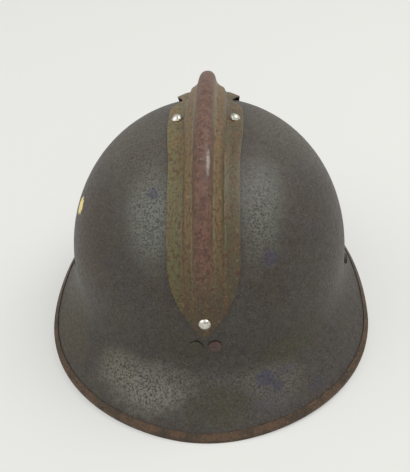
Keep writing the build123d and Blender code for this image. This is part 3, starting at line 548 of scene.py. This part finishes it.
def bare_metal(name, bright, stain, stain_from, roughness, dent_mm, dent_depth_mm):
    """A metal with stains and small dents."""
    material, tree, surface, place = start_material(name)
    dirt = specks(tree, place, 3.0, stain_from, stain_from + STAIN_SOFTNESS, 5.0)
    colour = over(tree, srgb(bright), srgb(stain), dirt, STAIN_SHARE)
    tree.links.new(colour, surface.inputs["Base Color"])
    ends = {"Metallic": (1.0, STAIN_METALLIC), "Roughness": (roughness, roughness + STAIN_DULLNESS)}
    for slot, (clean, dirty) in ends.items():
        value = add_node(tree, "ShaderNodeMapRange", {"Value": dirt, "To Min": clean, "To Max": dirty})
        tree.links.new(value.outputs[0], surface.inputs[slot])
    roughen(tree, surface, place, dent_mm, dent_depth_mm, 0.7, detail=2.0)
    return material


nickel = bare_metal("dull_nickel", "#c9c6bc", "#3d3932", 0.53, 0.3, 4.0, 0.7)
steel = bare_metal("stained_bare_steel", "#8f8b84", "#5c4636", 0.5, 0.42, 2.5, 0.12)
aluminium = bare_metal("corrugated_aluminium", "#b9babb", "#77746d", 0.62, 0.38, 3.0, 0.08)
paint("crest_rivets", nickel)
for name in STEEL_PIECES:
    paint(name, steel)
for name in ALUMINIUM_PIECES:
    paint(name, aluminium)
print("three metals are on", 1 + len(STEEL_PIECES) + len(ALUMINIUM_PIECES), "pieces")

# %% [markdown]
# The flat rivets were painted with the shell. One of the two behind has gone rust-red and the other olive,
# so the colour changes with the piece's own X, from side to side.

# %% Paint the flat rivets
RIVET_SPECKS = (("#1f1a16", 1.2, 0.56, 0.68, 3.0, 0.6),)


def rivet_paint():
    """Paint on flat rivets, olive on one side and rusty on the other."""
    material, tree, surface, place = start_material("paint_on_flat_rivets")
    x = add_node(tree, "ShaderNodeSeparateXYZ", {0: place}).outputs[0]
    side = add_node(tree, "ShaderNodeMapRange", {"Value": x, **levels(-1, 1)}).outputs[0]
    olive = clouds(tree, place, 3.0, ((0.35, "#2d2c1b"), (0.6, "#3e3c24")))
    rust = clouds(tree, place, 3.0, ((0.35, "#3f2c27"), (0.6, "#533b33")))
    colour = add_node(tree, "ShaderNodeMix", {0: side, 6: olive, 7: rust}, data_type="RGBA").outputs[2]
    colour = speckle(tree, place, colour, RIVET_SPECKS)
    tree.links.new(colour, surface.inputs["Base Color"])
    surface.inputs["Roughness"].default_value = 0.5
    roughen(tree, surface, place, 1.0, 0.25, 0.5, detail=3.0)
    return material


paint("clip_rivets", rivet_paint())
paint("bail_rivets", shell_paint)
print("the flat rivets are painted, and the strap's swivel rivets with the shell")

# %% [markdown]
# ## Leather
# Leather is a hide with a fine pebbled grain and a dull sheen. The pebbles are the cells of a Voronoi
# pattern, with larger creases under them, and the colour is paler where the hide is cracked.
# The liner is dark sheepskin and the strap is browner, finer-grained cowhide.

# %% Mix the leather
CREASE_HEIGHT = 1.5
SHEEN_SPREAD = 0.15


def leather(name, stops, crack, roughness, grain_mm):
    """Grained hide, paler where it is creased."""
    material, tree, surface, place = start_material(name)
    colour = clouds(tree, place, 14.0, stops)
    colour = speckle(tree, place, colour, ((crack, 3.5, 0.6, 0.72, 6.0, 0.5),))
    tree.links.new(colour, surface.inputs["Base Color"])
    worn = specks(tree, place, 5.0, 0.35, 0.65)
    gloss = add_node(
        tree, "ShaderNodeMapRange", {"Value": worn, "To Min": roughness, "To Max": roughness + SHEEN_SPREAD}
    )
    tree.links.new(gloss.outputs[0], surface.inputs["Roughness"])
    cells = {"Vector": place, "Scale": per_metre(grain_mm)}
    pebbles = add_node(tree, "ShaderNodeTexVoronoi", cells, feature="DISTANCE_TO_EDGE").outputs[0]
    creases = add_node(tree, "ShaderNodeTexNoise", {"Vector": place, "Scale": per_metre(9.0), "Detail": 6.0})
    height = add_node(
        tree, "ShaderNodeMath", {0: creases.outputs[0], 1: CREASE_HEIGHT, 2: pebbles}, operation="MULTIPLY_ADD"
    ).outputs[0]
    bump = add_node(tree, "ShaderNodeBump", {"Height": height, "Strength": 0.5, "Distance": 0.3 * MM})
    tree.links.new(bump.outputs[0], surface.inputs["Normal"])
    return material


LINER_STOPS = ((0.34, "#3b2418"), (0.5, "#4a2e1f"), (0.64, "#583a27"))
STRAP_STOPS = ((0.34, "#4a2c1a"), (0.5, "#5e3a22"), (0.64, "#6e472b"))
liner_hide = leather("dark_sheepskin", LINER_STOPS, "#6e4d36", 0.5, 1.3)
strap_hide = leather("brown_cowhide", STRAP_STOPS, "#875f3e", 0.42, 0.9)
print("two hides are mixed")

# %% [markdown]
# ## Wool and cotton
# Milled wool cloth has no gloss but a soft nap, which catches light at its edges: the sheen layer does that.
# The lace is braided cotton and the thread is waxed. Their ribs are Voronoi cells at the size of a strand.

# %% Mix the wool and cotton
def wool_felt():
    """Milled wool cloth with a soft nap."""
    material, tree, surface, place = start_material("milled_wool_cloth")
    colour = clouds(tree, place, 5.0, ((0.35, "#2a2e38"), (0.5, "#353a45"), (0.66, "#434852")), 8.0)
    tree.links.new(colour, surface.inputs["Base Color"])
    surface.inputs["Roughness"].default_value = 0.95
    surface.inputs["Sheen Weight"].default_value = 0.35
    surface.inputs["Sheen Roughness"].default_value = 0.6
    roughen(tree, surface, place, 0.9, 0.5, 0.8, detail=6.0)
    return material


def cotton(name, stops, rib_mm):
    """Braided or twisted cotton."""
    material, tree, surface, place = start_material(name)
    tree.links.new(clouds(tree, place, 4.0, stops), surface.inputs["Base Color"])
    surface.inputs["Roughness"].default_value = 0.85
    ribs = add_node(tree, "ShaderNodeTexVoronoi", {"Vector": place, "Scale": per_metre(rib_mm)}).outputs[0]
    bump = add_node(tree, "ShaderNodeBump", {"Height": ribs, "Strength": 0.7, "Distance": 0.3 * MM})
    tree.links.new(bump.outputs[0], surface.inputs["Normal"])
    return material


felt = wool_felt()
lace_cotton = cotton("braided_cotton", ((0.35, "#6b5d43"), (0.6, "#8a7a5c")), 0.9)
thread_cotton = cotton("waxed_thread", ((0.35, "#a08f6c"), (0.6, "#b7a681")), 0.6)
print("wool and cotton are mixed")

# %% [markdown]
# ## Making a piece
# Every soft piece ends in the same way: its mesh is smoothed, gets its material, rides on a body
# of the model and stands for the plain CAD solid. A sheet also gets a wall and rounded edges.

# %% Finish a soft piece
def new_piece(name, mesh, material, body, *stands_for):
    """Makes an object of a finished bmesh, rides it on its body and replaces its CAD nodes."""
    data = bpy.data.meshes.new(name)
    mesh.to_mesh(data)
    mesh.free()
    for face in data.polygons:
        face.use_smooth = True
    data.materials.append(material)
    piece = bpy.data.objects.new(name, data)
    bpy.context.scene.collection.objects.link(piece)
    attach(piece, body)
    if stands_for:
        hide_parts(*stands_for)
    return piece


def finish_shape(piece, wall_mm=0.0):
    """Gives a sheet its wall, inwards, and rounds it."""
    if wall_mm:
        wall = piece.modifiers.new("wall", "SOLIDIFY")
        wall.thickness = wall_mm * MM
        wall.offset = -1.0
        wall.thickness_clamp = 1.0
    rounding = piece.modifiers.new("rounding", "SUBSURF")
    rounding.levels = rounding.render_levels = 1


print("soft pieces get one level of rounding")

# %% [markdown]
# Most of the soft pieces are grown: a row of edges is extruded, and its new edges are extruded again.
# One function grows one row, and another repeats it along a straight way.

# %% Grow rows of edges
UP = Vector((0, 0, 1))


def grow(mesh, edges, way):
    """Extrudes edges once along a direction. Returns the new edges, vertices and faces."""
    made = bmesh.ops.extrude_edge_only(mesh, edges=edges)["geom"]
    kinds = (bmesh.types.BMEdge, bmesh.types.BMVert, bmesh.types.BMFace)
    new_edges, new_verts, new_faces = ([g for g in made if isinstance(g, kind)] for kind in kinds)
    bmesh.ops.translate(mesh, vec=way, verts=new_verts)
    return new_edges, new_verts, new_faces


def pull(mesh, edges, way, steps):
    """Extrudes edges straight along a direction, in equal rows."""
    for _ in range(steps):
        edges, _, _ = grow(mesh, edges, way / steps)
    return edges


print("rows grow by one unit before they are settled")

# %% [markdown]
# ## Shapes round the head
# The liner follows the skull: an oval that is longer in front than behind.
# Rings are made on a unit circle first, where extruding is easy, and only then settled on the oval:
# the ring's turn gives the direction, and its height tells how far up the liner a point is.

# %% Settle a ring on the liner's oval
BAND_COLUMNS = 96
wool_low, wool_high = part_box("wool_band")
liner_low, liner_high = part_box("leather_liner")
MIDDLE_Y = -3.9 * MM


def turn_of(spot):
    """The direction of a point, as an angle round the upright axis."""
    return math.atan2(spot.y, spot.x)


def oval_point(low, high, inset, turn, z):
    """A point of the oval that a box bounds, moved in by an inset."""
    side = high.x - inset
    length = high.y - MIDDLE_Y - inset if math.sin(turn) > 0 else MIDDLE_Y - low.y - inset
    return Vector((side * math.cos(turn), MIDDLE_Y + length * math.sin(turn), z))


print("the liner is", round(liner_high.x / MM * 2, 1), "mm wide")

# %% [markdown]
# ## Wool band
# A strip of milled wool keeps the leather off the spacers. It is thick, soft and a little uneven,
# so a ring is extruded up, settled on its oval, shaken by noise, and given a wall and round edges.

# %% Felt the wool band
WOOL_ROWS, WOOL_WALL_MM = 6, 2.4
WOOL_EDGE, WOOL_INSET, WOOL_UNEVEN = 0.6 * MM, 0.3 * MM, 0.5 * MM
WOOL_WAVES_PER_METRE = 90
mesh = bmesh.new()
bmesh.ops.create_circle(mesh, segments=BAND_COLUMNS, radius=1.0)
pull(mesh, mesh.edges[:], UP * WOOL_ROWS, WOOL_ROWS)
for vert in mesh.verts:
    share = vert.co.z / WOOL_ROWS
    z = wool_low.z + WOOL_EDGE + (wool_high.z - wool_low.z - 2 * WOOL_EDGE) * share
    spot = oval_point(wool_low, wool_high, WOOL_INSET, turn_of(vert.co), z)
    vert.co = spot + UP * WOOL_UNEVEN * noise.noise(spot * WOOL_WAVES_PER_METRE)
bmesh.ops.recalc_face_normals(mesh, faces=mesh.faces[:])
wool = new_piece("liner_wool", mesh, felt, "helmet", "wool_band")
finish_shape(wool, WOOL_WALL_MM)

# %% [markdown]
# ## Leather liner
# One strip of sheepskin lines the head. Its upper half is cut into tongues that lean in over the crown,
# narrow like leaves, and are drawn together by a lace. The band is a ring of columns; each tongue grows
# from its own columns, row by row, and stays clear of its neighbours, so the gaps open by themselves.
# Near its tip, each tongue has a slit for the lace, left open by taking out a few faces.

# %% Cut the leather liner
TONGUES, BAND_ROWS, TONGUE_ROWS = 6, 6, 12
SLIT_ROWS, SLIT_HALF_COLUMNS = (9, 10), 1.8
COLUMN_TURN = 2 * math.pi / BAND_COLUMNS
TONGUE_COLUMNS = BAND_COLUMNS // TONGUES


def middle_turn(index):
    """The direction in which a tongue points."""
    return 2 * math.pi * (index + 0.5) / TONGUES


def columns_off(turn, index):
    """How many columns a direction is away from a tongue's middle."""
    return math.remainder(turn - middle_turn(index), 2 * math.pi) / COLUMN_TURN


mesh = bmesh.new()
start_turn = Matrix.Rotation(COLUMN_TURN / 2, 4, "Z")
bmesh.ops.create_circle(mesh, segments=BAND_COLUMNS, radius=1.0, matrix=start_turn)
band_top_edges = pull(mesh, mesh.edges[:], UP * BAND_ROWS, BAND_ROWS)
owner = mesh.verts.layers.int.new("tongue")
slits = []
for index in range(TONGUES):
    edges = []
    for edge in band_top_edges:
        centre = (edge.verts[0].co + edge.verts[1].co) / 2
        if abs(columns_off(turn_of(centre), index)) < TONGUE_COLUMNS / 2 - 0.25:
            edges.append(edge)
    for row in range(TONGUE_ROWS):
        edges, verts, faces = grow(mesh, edges, UP)
        for vert in verts:
            vert[owner] = index + 1
        if row in SLIT_ROWS:
            for face in faces:
                if abs(columns_off(turn_of(face.calc_center_median()), index)) < SLIT_HALF_COLUMNS:
                    slits.append(face)
bmesh.ops.delete(mesh, geom=slits, context="FACES")
print(TONGUES, "tongues are cut, with", len(slits), "faces taken out for the slits")

# %% [markdown]
# The cut shape still stands on the unit circle. The band is settled on its oval, with small wrinkles.
# A tongue's rows run inwards over a dome: two lists say how high the dome is at a share of its reach,
# and two more how wide the gap beside a tongue is at a distance from the middle.

# %% Settle the leather over the head
BAND_TOP, TONGUE_RISE, TIP_REACH = 96.0 * MM, 34.0 * MM, 17.5 * MM
RISE_SHARES = (0.0, 0.30, 0.60, 0.80, 0.93, 1.0)
REACH_SHARES = (1.0, 0.965, 0.84, 0.65, 0.40, 0.15)
GAP_REACH_MM = (17.0, 29.0, 48.0, 70.0, 82.0, 95.0)
GAP_HALF_MM = (1.6, 5.0, 10.5, 7.5, 2.4, 1.4)
LEAN_POWER = 1.15
ROUND_FROM, ROUND_LENGTH, ROUND_LEAST = 0.82, 0.2, 0.12
LINER_EDGE, LINER_INSET, FOOT_INSET, TONGUE_SINK = 0.8 * MM, 0.2 * MM, 0.8 * MM, 0.3 * MM
WRINKLE, WRINKLES_PER_METRE = 0.6 * MM, Vector((60, 60, 22))
PUCKER, PUCKERS_PER_METRE, PUCKER_START = 1.6 * MM, 45, 3.0
CURL, TIP_CURL_SHARE, TIP_FROM = 1.2 * MM, 0.3, 0.8
BLEND_SHARE, FOOT_SHARE = 1 / 4, 1 / 6
LINER_WALL_MM = 1.8
MIDDLE = Vector((0, MIDDLE_Y, 0))


def along(value, places, values):
    """Reads a value between listed places."""
    if value <= places[0]:
        return values[0]
    for (a, b), (c, d) in zip(zip(places, places[1:]), zip(values, values[1:])):
        if value <= b:
            return c + (d - c) * (value - a) / (b - a)
    return values[-1]


def band_point(turn, row):
    """A point of the leather band, a little wrinkled."""
    z = liner_low.z + LINER_EDGE + (BAND_TOP - liner_low.z - LINER_EDGE) * row / BAND_ROWS
    spot = oval_point(liner_low, liner_high, LINER_INSET, turn, z)
    wrinkle = noise.noise(spot * WRINKLES_PER_METRE)
    inward = Vector((-math.cos(turn), -math.sin(turn), 0))
    return spot + inward * WRINKLE * (1 + wrinkle)


def tongue_point(turn, row, index):
    """A point of a tongue, which leans in over the crown and is narrow at both ends."""
    way = middle_turn(index)
    out_way, side_way = Vector((math.cos(way), math.sin(way), 0)), Vector((-math.sin(way), math.cos(way), 0))
    column = columns_off(turn, index) / ((TONGUE_COLUMNS - 1) / 2)
    share = (row - BAND_ROWS) / TONGUE_ROWS
    foot_reach = (oval_point(liner_low, liner_high, LINER_INSET, way, 0) - MIDDLE).length
    reach = foot_reach + (TIP_REACH - foot_reach) * (1 - (1 - share) ** LEAN_POWER)
    half = reach * math.sin(math.pi / TONGUES) - along(reach / MM, GAP_REACH_MM, GAP_HALF_MM) * MM
    if share > ROUND_FROM:
        half *= math.sqrt(max(1 - ((share - ROUND_FROM) / ROUND_LENGTH) ** 2, ROUND_LEAST))
    flat = out_way * reach + side_way * half * column
    rim = oval_point(liner_low, liner_high, LINER_INSET, turn_of(flat), 0) - MIDDLE
    at_rim = min(flat.length / rim.length, 1.0)
    z = BAND_TOP + TONGUE_RISE * along(at_rim, REACH_SHARES[::-1], RISE_SHARES[::-1])
    pucker = noise.noise(flat * PUCKERS_PER_METRE + UP * (PUCKER_START + index))
    curl = CURL * column**2 * (1 if share < TIP_FROM else TIP_CURL_SHARE)
    z += (PUCKER * pucker + curl) * min(share / BLEND_SHARE, 1.0)
    foot = oval_point(liner_low, liner_high, FOOT_INSET, turn, BAND_TOP)
    spot = flat + MIDDLE + UP * (z - TONGUE_SINK)
    return foot.lerp(spot, min(share / FOOT_SHARE, 1.0))


for vert in mesh.verts:
    turn, row = turn_of(vert.co), vert.co.z
    if vert[owner]:
        vert.co = tongue_point(turn, row, vert[owner] - 1)
    else:
        vert.co = band_point(turn, row)
bmesh.ops.recalc_face_normals(mesh, faces=mesh.faces[:])
hide = new_piece("liner_leather", mesh, liner_hide, "helmet", "leather_liner")
finish_shape(hide, LINER_WALL_MM)
print("the liner has", TONGUES, "tongues and", len(hide.data.polygons), "faces before rounding")

# %% [markdown]
# ## Stitches
# The leather is sewn to the wool along its lower edge. One stitch is a short rod with few faces,
# which is enough at this size, and it is repeated round the band, lying along it.

# %% Sew the lower edge
STITCHES, STITCH_LENGTH, STITCH_RADIUS = 120, 2.9 * MM, 0.4 * MM
STITCH_INSET, STITCH_RISE = 3.4 * MM, 6.2 * MM
LOOK_AHEAD = 0.01
mesh = bmesh.new()
for index in range(STITCHES):
    turn = 2 * math.pi * index / STITCHES
    here, ahead = (
        oval_point(liner_low, liner_high, STITCH_INSET, t, liner_low.z + STITCH_RISE)
        for t in (turn, turn + LOOK_AHEAD)
    )
    lie = (ahead - here).normalized().to_track_quat("Z", "Y").to_matrix().to_4x4()
    bmesh.ops.create_cone(
        mesh,
        cap_ends=True,
        segments=6,
        radius1=STITCH_RADIUS,
        radius2=STITCH_RADIUS,
        depth=STITCH_LENGTH,
        matrix=Matrix.Translation(here) @ lie,
    )
stitches = new_piece("liner_stitches", mesh, thread_cotton, "helmet")
print(STITCHES, "stitches hold the leather to the wool")

# %% [markdown]
# ## Lace
# The lace passes over one gap and under the next, through a slit in each tongue, and is knotted.
# It is one smooth closed curve, because a lace drawn tight has no corners.

# %% Draw the lace through the tongues
LACE_RADIUS, LACE_RING = 1.0 * MM, 27.0 * MM
LACE_LEVEL, LACE_SWING = 127.4 * MM, 3.1 * MM
LACE_HALF_TURN = math.radians(13)


def thread_curve(name, points, closed, radius):
    """A smooth round cord along control points, as a mesh."""
    data = bpy.data.curves.new(name, "CURVE")
    data.dimensions = "3D"
    line = data.splines.new("NURBS")
    line.points.add(len(points) - 1)
    for point, spot in zip(line.points, points):
        point.co = (*spot, 1.0)
    line.order_u = 3
    line.use_cyclic_u = closed
    line.use_endpoint_u = not closed
    line.resolution_u = 8
    data.bevel_depth = radius
    data.bevel_resolution = 3
    data.use_fill_caps = True
    holder = bpy.data.objects.new(name, data)
    made = bpy.data.meshes.new_from_object(holder)
    bpy.data.objects.remove(holder)
    bpy.data.curves.remove(data)
    mesh = bmesh.new()
    mesh.from_mesh(made)
    bpy.data.meshes.remove(made)
    return mesh


lace_route = []
for index in range(TONGUES):
    level = LACE_LEVEL + LACE_SWING * (1 if index % 2 == 0 else -1)
    for side in (-1, 1):
        turn = 2 * math.pi * index / TONGUES + side * LACE_HALF_TURN
        lace_route.append(MIDDLE + Vector((LACE_RING * math.cos(turn), LACE_RING * math.sin(turn), level)))
mesh = thread_curve("lace_route", lace_route, True, LACE_RADIUS)
lace = new_piece("lace", mesh, lace_cotton, "helmet", "crown_lace")
print("the lace passes", len(lace_route) // 2, "gaps")

# %% [markdown]
# The knot is an overhand knot: the cord goes round itself once, and its two ends hang down a little way.
# Its route is listed in millimetres from the top of the knot.

# %% Tie the knot
KNOT_RADIUS = 0.95 * MM
KNOT_ROUTE = (
    (3.0, 0.0, -15.5), (2.0, 0.3, -10.5), (0.75, 1.7, -4.6), (-0.6, 2.1, -1.8), (-1.1, 0.0, -1.2),
    (-0.3, -2.1, -2.0), (0.8, -1.9, -3.6), (0.95, 0.3, -4.6), (0.2, 2.2, -3.2), (-0.9, 1.7, -1.7),
    (-0.7, -0.6, -2.6), (-1.0, -1.6, -5.6), (-2.0, -0.4, -10.0), (-3.1, -0.2, -15.0),
)
knot_low, knot_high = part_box("lace_knot")
knot_top = (knot_low + knot_high) / 2
knot_top.z = knot_high.z
route = [knot_top + Vector(spot) * MM for spot in KNOT_ROUTE]
mesh = thread_curve("knot_route", route, False, KNOT_RADIUS)
knot = new_piece("knot", mesh, lace_cotton, "helmet", "lace_knot")
print("the knot is", round((knot_high - knot_low).z / MM, 1), "mm tall with its ends")

# %% [markdown]
# ## Chin strap
# The strap is one long strip of cowhide. It starts at the free tail on the right, runs back to the ring,
# turns round the ring's bar, crosses under the chin, turns round the left bar and ends under a small rivet.
# A rounded cross-section is pulled along the straight runs and spun round the bends,
# in the strap's own flat plane, which is then tilted into place. Its sizes here are in millimetres.

# %% Lay out the strap
STRAP_LEAN = math.radians(25.0)
STRAP_TILT = math.radians(17.351016050906285)
SWIVEL_FORWARD, SWIVEL_HEIGHT = 3.0 * MM, 41.7 * MM
EYE_ACROSS, BAR_DISTANCE = 89.08671285092761, 24.0
PLY_OFFSET, LEG_LENGTH, BEND_DISTANCE = 2.45, 57.572101515309, 45.981969118016
JOIN_LENGTH, LAP_LENGTH, TAIL_LENGTH = 8.0, 18.0, 58.0
STRAP_WIDTH, STRAP_THICKNESS, CORNER_SHARE = 13.8, 2.0, 0.55
right_q = Vector((-math.sin(STRAP_LEAN), math.cos(STRAP_LEAN), 0))
right_p = Vector((math.cos(STRAP_LEAN), math.sin(STRAP_LEAN), 0))
left_q = Vector((-right_q.x, right_q.y, 0))
left_p = Vector((-right_p.x, right_p.y, 0))
right_bar = Vector((EYE_ACROSS, BAR_DISTANCE, 0))
left_bar = Vector((-EYE_ACROSS, BAR_DISTANCE, 0))
bend_centre = Vector((0, BEND_DISTANCE, 0))
strap_place = Matrix.Translation((0, SWIVEL_FORWARD + MIDDLE_Y, SWIVEL_HEIGHT)) @ Matrix.Rotation(
    -STRAP_TILT, 4, "X"
)


def close_loop(mesh, spots):
    """Joins points into a closed loop of edges."""
    verts = [mesh.verts.new(spot) for spot in spots]
    return [mesh.edges.new((a, b)) for a, b in zip(verts, verts[1:] + verts[:1])]


def strap_section(mesh, centre, thick_way):
    """The strap's rounded cross-section as a loop of edges."""
    wide, thick = STRAP_WIDTH / 2, STRAP_THICKNESS / 2
    corner = thick * CORNER_SHARE
    outer = (
        (thick, -wide + corner), (thick, -wide / 3), (thick, wide / 3), (thick, wide - corner),
        (thick - corner, wide), (-thick + corner, wide),
    )
    steps = outer + tuple((-t, -w) for t, w in outer)
    return close_loop(mesh, [centre + thick_way * t + UP * w for t, w in steps])


def swing(mesh, loop, centre, angle, steps):
    """Spins a loop round an upright axis."""
    made = bmesh.ops.spin(mesh, geom=loop, cent=centre, axis=UP, angle=angle, steps=steps)
    return [g for g in made["geom_last"] if isinstance(g, bmesh.types.BMEdge)]


def settle(mesh):
    """Turns millimetres in the strap's flat plane into the helmet's own space."""
    bmesh.ops.scale(mesh, vec=(MM, MM, MM), verts=mesh.verts[:])
    bmesh.ops.transform(mesh, matrix=strap_place, verts=mesh.verts[:])
    bmesh.ops.recalc_face_normals(mesh, faces=mesh.faces[:])


print("the strap's legs are", round(LEG_LENGTH, 1), "mm long")

# %% [markdown]
# Each run starts where the last one ended, so the whole strap is one closed skin with a cap at each end.
# The tail's end is then rounded by making it narrower, and the edges are shaken a quarter of a millimetre.

# %% Pull and spin the strap
RUN_ROWS, JOIN_ROWS, LAP_ROWS, BAR_STEPS, BEND_STEPS = 20, 3, 4, 14, 40
TAIL_ROUND, TAIL_ROUND_RADIUS, TAIL_LEAST = 7.0, 7.6, 0.05
TAIL_SIDE = -0.6 * STRAP_THICKNESS
STRAP_UNEVEN, STRAP_WAVES_PER_MM = 0.25, 0.06
tail_end = right_bar + right_q * TAIL_LENGTH
mesh = bmesh.new()
loop = strap_section(mesh, tail_end, right_p)
bmesh.ops.contextual_create(mesh, geom=loop)
loop = pull(mesh, loop, -right_q * (TAIL_LENGTH - JOIN_LENGTH), RUN_ROWS)
loop = pull(mesh, loop, right_p * PLY_OFFSET - right_q * JOIN_LENGTH, JOIN_ROWS)
loop = swing(mesh, loop, right_bar, -math.pi, BAR_STEPS)
loop = pull(mesh, loop, right_q * LEG_LENGTH, RUN_ROWS)
loop = swing(mesh, loop, bend_centre, math.pi - 2 * STRAP_LEAN, BEND_STEPS)
loop = pull(mesh, loop, -left_q * LEG_LENGTH, RUN_ROWS)
loop = swing(mesh, loop, left_bar, -math.pi, BAR_STEPS)
loop = pull(mesh, loop, -left_p * PLY_OFFSET + left_q * JOIN_LENGTH, JOIN_ROWS)
loop = pull(mesh, loop, left_q * (LAP_LENGTH - JOIN_LENGTH), LAP_ROWS)
bmesh.ops.contextual_create(mesh, geom=loop)
for vert in mesh.verts:
    from_end = (tail_end - vert.co).dot(right_q)
    outboard = (vert.co - right_bar).dot(right_p)
    if outboard > TAIL_SIDE and 0 <= from_end < TAIL_ROUND and vert.co.x > 0:
        share = (TAIL_ROUND - from_end) / TAIL_ROUND_RADIUS
        vert.co.z *= math.sqrt(max(1 - share**2, TAIL_LEAST))
    vert.co.z += STRAP_UNEVEN * noise.noise(vert.co * STRAP_WAVES_PER_MM)
settle(mesh)
strap = new_piece("strap", mesh, strap_hide, "strap", "chin_strap")
finish_shape(strap)
print("the strap has", len(strap.data.polygons), "faces before rounding")

# %% [markdown]
# The keeper is a small closed loop of the same leather that holds both plies of the strap together.
# Its rounded outline is pulled along the strap's right leg, and its wall grows inwards from there.

# %% Loop the keeper
KEEPER_DISTANCE, KEEPER_LENGTH, KEEPER_WALL = 44.0, 7.6, 1.3
KEEPER_ROWS, KEEPER_CORNER, CORNER_STEPS = 5, 1.6, 6
# half the CAD strap's thickness and width, which are a little more than the drawn strap's
CAD_HALF_THICKNESS, CAD_HALF_WIDTH, KEEPER_ROOM = 1.1, 7.0, 0.45
half_p = PLY_OFFSET / 2 + CAD_HALF_THICKNESS + KEEPER_ROOM + KEEPER_WALL
half_z = CAD_HALF_WIDTH + KEEPER_ROOM + KEEPER_WALL
middle_p = -PLY_OFFSET / 2
outline = []
for quarter, (sign_p, sign_z) in enumerate(((1, 1), (-1, 1), (-1, -1), (1, -1))):
    for step in range(CORNER_STEPS + 1):
        turn = math.pi / 2 * (quarter + step / CORNER_STEPS)
        p = middle_p + sign_p * (half_p - KEEPER_CORNER) + KEEPER_CORNER * math.cos(turn)
        outline.append((p, 0, sign_z * (half_z - KEEPER_CORNER) + KEEPER_CORNER * math.sin(turn)))
mesh = bmesh.new()
pull(mesh, close_loop(mesh, outline), Vector((0, KEEPER_LENGTH, 0)), KEEPER_ROWS)
bmesh.ops.translate(mesh, vec=(0, KEEPER_DISTANCE - KEEPER_LENGTH / 2, 0), verts=mesh.verts[:])
leg_place = Matrix.Translation(right_bar) @ Matrix.Rotation(STRAP_LEAN, 4, "Z")
bmesh.ops.transform(mesh, matrix=leg_place, verts=mesh.verts[:])
settle(mesh)
keeper = new_piece("keeper", mesh, strap_hide, "keeper", "strap_keeper")
finish_shape(keeper, KEEPER_WALL)
print("the keeper loop is", KEEPER_LENGTH, "mm long")
